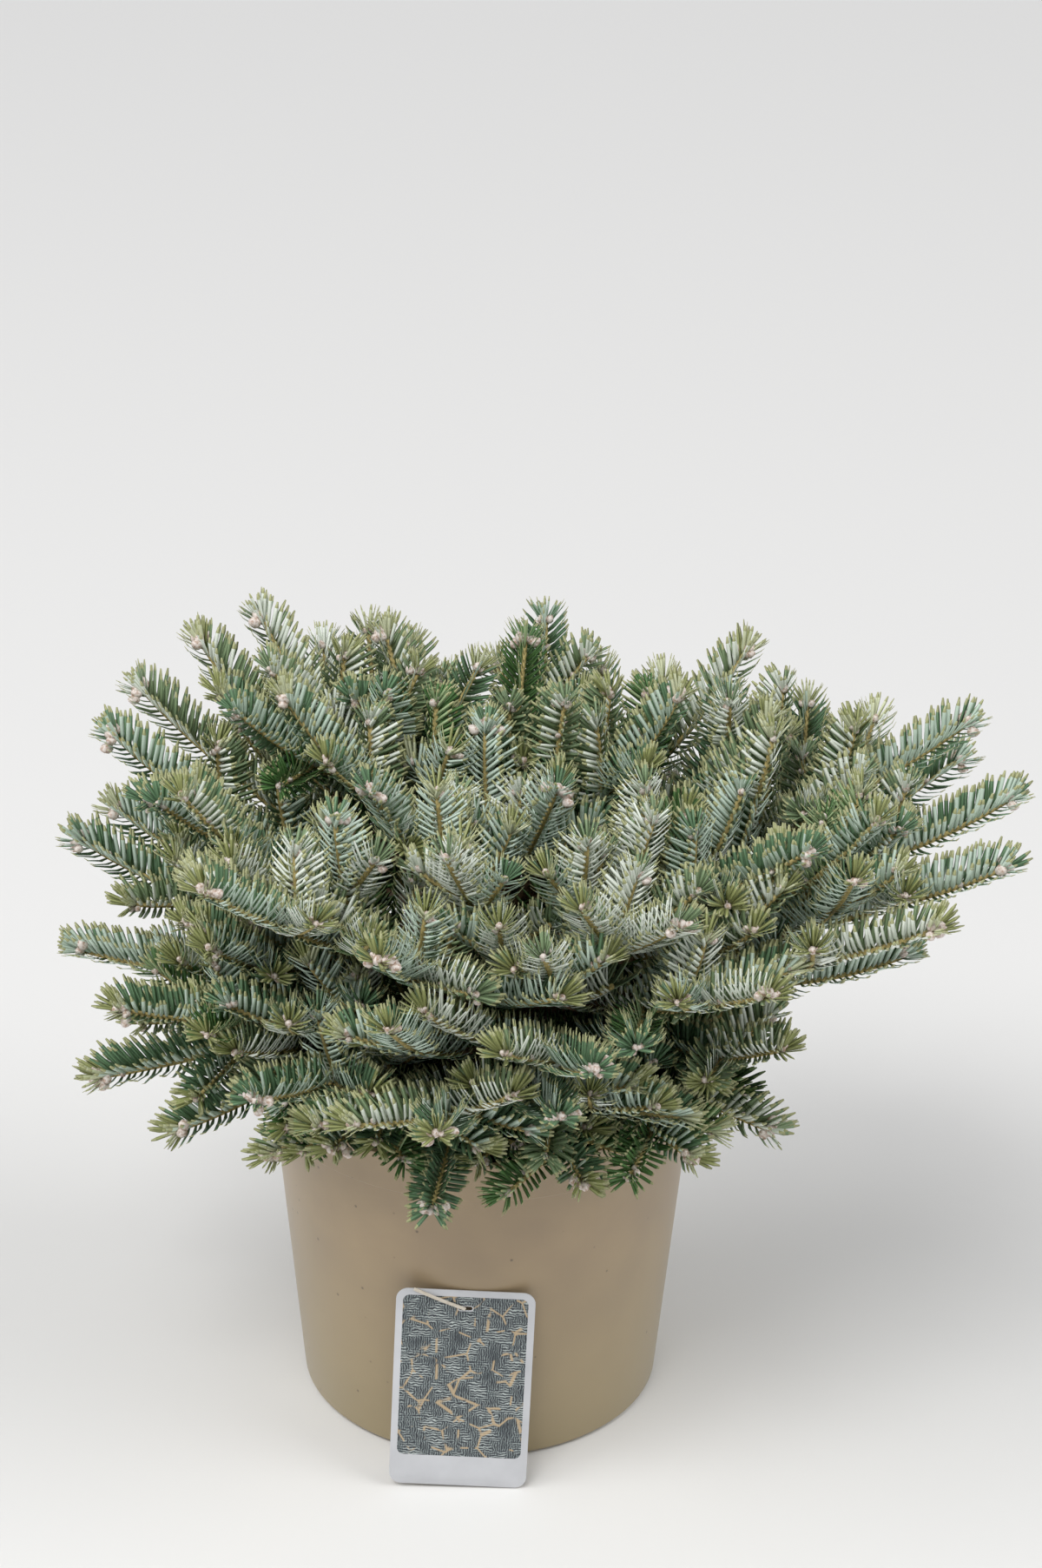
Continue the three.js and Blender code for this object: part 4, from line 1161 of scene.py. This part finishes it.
# Needle wax: a satin cuticle over flesh, greener above and silvered by the stomata below. The inner kind's
# dark tones are painted shade inside the crown.
for kind, colours in needle["kinds"].items():
    points = clearOfPot(np.concatenate(sprays[kind]))
    total += len(points)
    wax = [newMaterial(f"{kind} needle {part}", colour, needle["roughness"], needle["ior"])[0]
           for part, colour in zip(("above", "below", "tip"), colours)]
    for n, first in enumerate(range(0, len(points), needle["perPiece"])):
        name = f"{kind}Needles{n + 1}"
        placed(name, needleMesh(name, points[first:first + needle["perPiece"]]), wax, foliageNodes)
print("there are", total, "needles")


buds = {
    "length": 7.0, "radius": 2.9, "sides": 7,
    "across": (0.3, 0.5, 0.8),  # the way from which each bud's sides are taken
    "outline": ((0.12, 0.72), (0.42, 1.0), (0.78, 0.66)),  # shares of the length and of the radius
    "leading": (6, 1.12),  # how many sit at the tip of a leading shoot, and how large
    "side": (4, 0.82),  # and at the tip of a side one, where up to two may be missing
    "missing": 2.5,
    "apart": 1.8,  # across the tip
    "behind": (0.8, 0.9),  # the tip, and how much more for each further out
    "lift": (-0.8, 1.4), "roll": 20, "splay": 0.5, "nod": (-0.2, 0.5), "sizes": (0.8, 1.1),
    # One more along a share of the young shoots: where, how far round in radians, its lean and its size.
    "along": {"share": 0.45, "from": (0.35, 0.85), "swing": 1.2, "lean": 0.7, "size": 0.62},
    "tones": ((0.36, "A98D7A"), (0.55, "DDD2CB")),
    "look": {"grain": 1.8, "detail": 3, "roughness": 0.5, "ior": 1.5, "bump": 0.6, "depth": 0.5},
}


def budsOf(shoot):  # each bud's place, the way it points and its size
    made, single = [], buds["along"]
    along = unit(shoot["end"] - shoot["start"])
    side = unit(np.cross(along, shoot["over"]))
    over = np.cross(side, along)
    if rng.random() < (single["share"] if shoot["age"] < 2 else 0):
        share = rng.uniform(*single["from"])
        radial = between(over, side, rng.uniform(-single["swing"], single["swing"]))
        place = shootPoints(shoot, [share])[0] + radial
        made.append((place, unit(radial + single["lean"] * along), single["size"]))
    if shoot["age"] > 0:
        return made
    leading = shoot["level"] == 0
    count, scale = buds["leading" if leading else "side"]
    if not leading:
        count -= int(rng.random() * buds["missing"])
    back, further = buds["behind"]
    for n in range(count):  # the end bud, then the others in turn to its left and right
        hand = (n + 1) // 2 * (-1) ** n
        radial = between(side, over, math.radians(buds["roll"]) * rng.normal())
        lift = over * rng.uniform(*buds["lift"])
        place = shoot["end"] - along * (back + further * abs(hand)) + radial * hand * buds["apart"] + lift
        way = unit(along + radial * hand * buds["splay"] + over * rng.uniform(*buds["nod"]))
        made.append((place, way, rng.uniform(*buds["sizes"]) * scale))
    return made


def budTube(place, way, size):
    side = unit(np.cross(way, buds["across"]))
    length, radius = way * buds["length"] * size, buds["radius"] * size
    circling = between(side, np.cross(way, side), circle(buds["sides"]))
    rings = [place + length * t + radius * r * circling for t, r in buds["outline"]]
    return closedRings(rings, place, place + length)


# Bud scales under pale resin: chalky pink, brown where the resin is thin.
resin = mottled("resinous bud scales", buds["tones"][1][1], buds["tones"], buds["look"])
budTubes = [budTube(*bud) for shoot in shoots for bud in budsOf(shoot)]
placed("buds", joined("buds", budTubes), [resin], foliageNodes)
print("there are", len(budTubes), "buds")
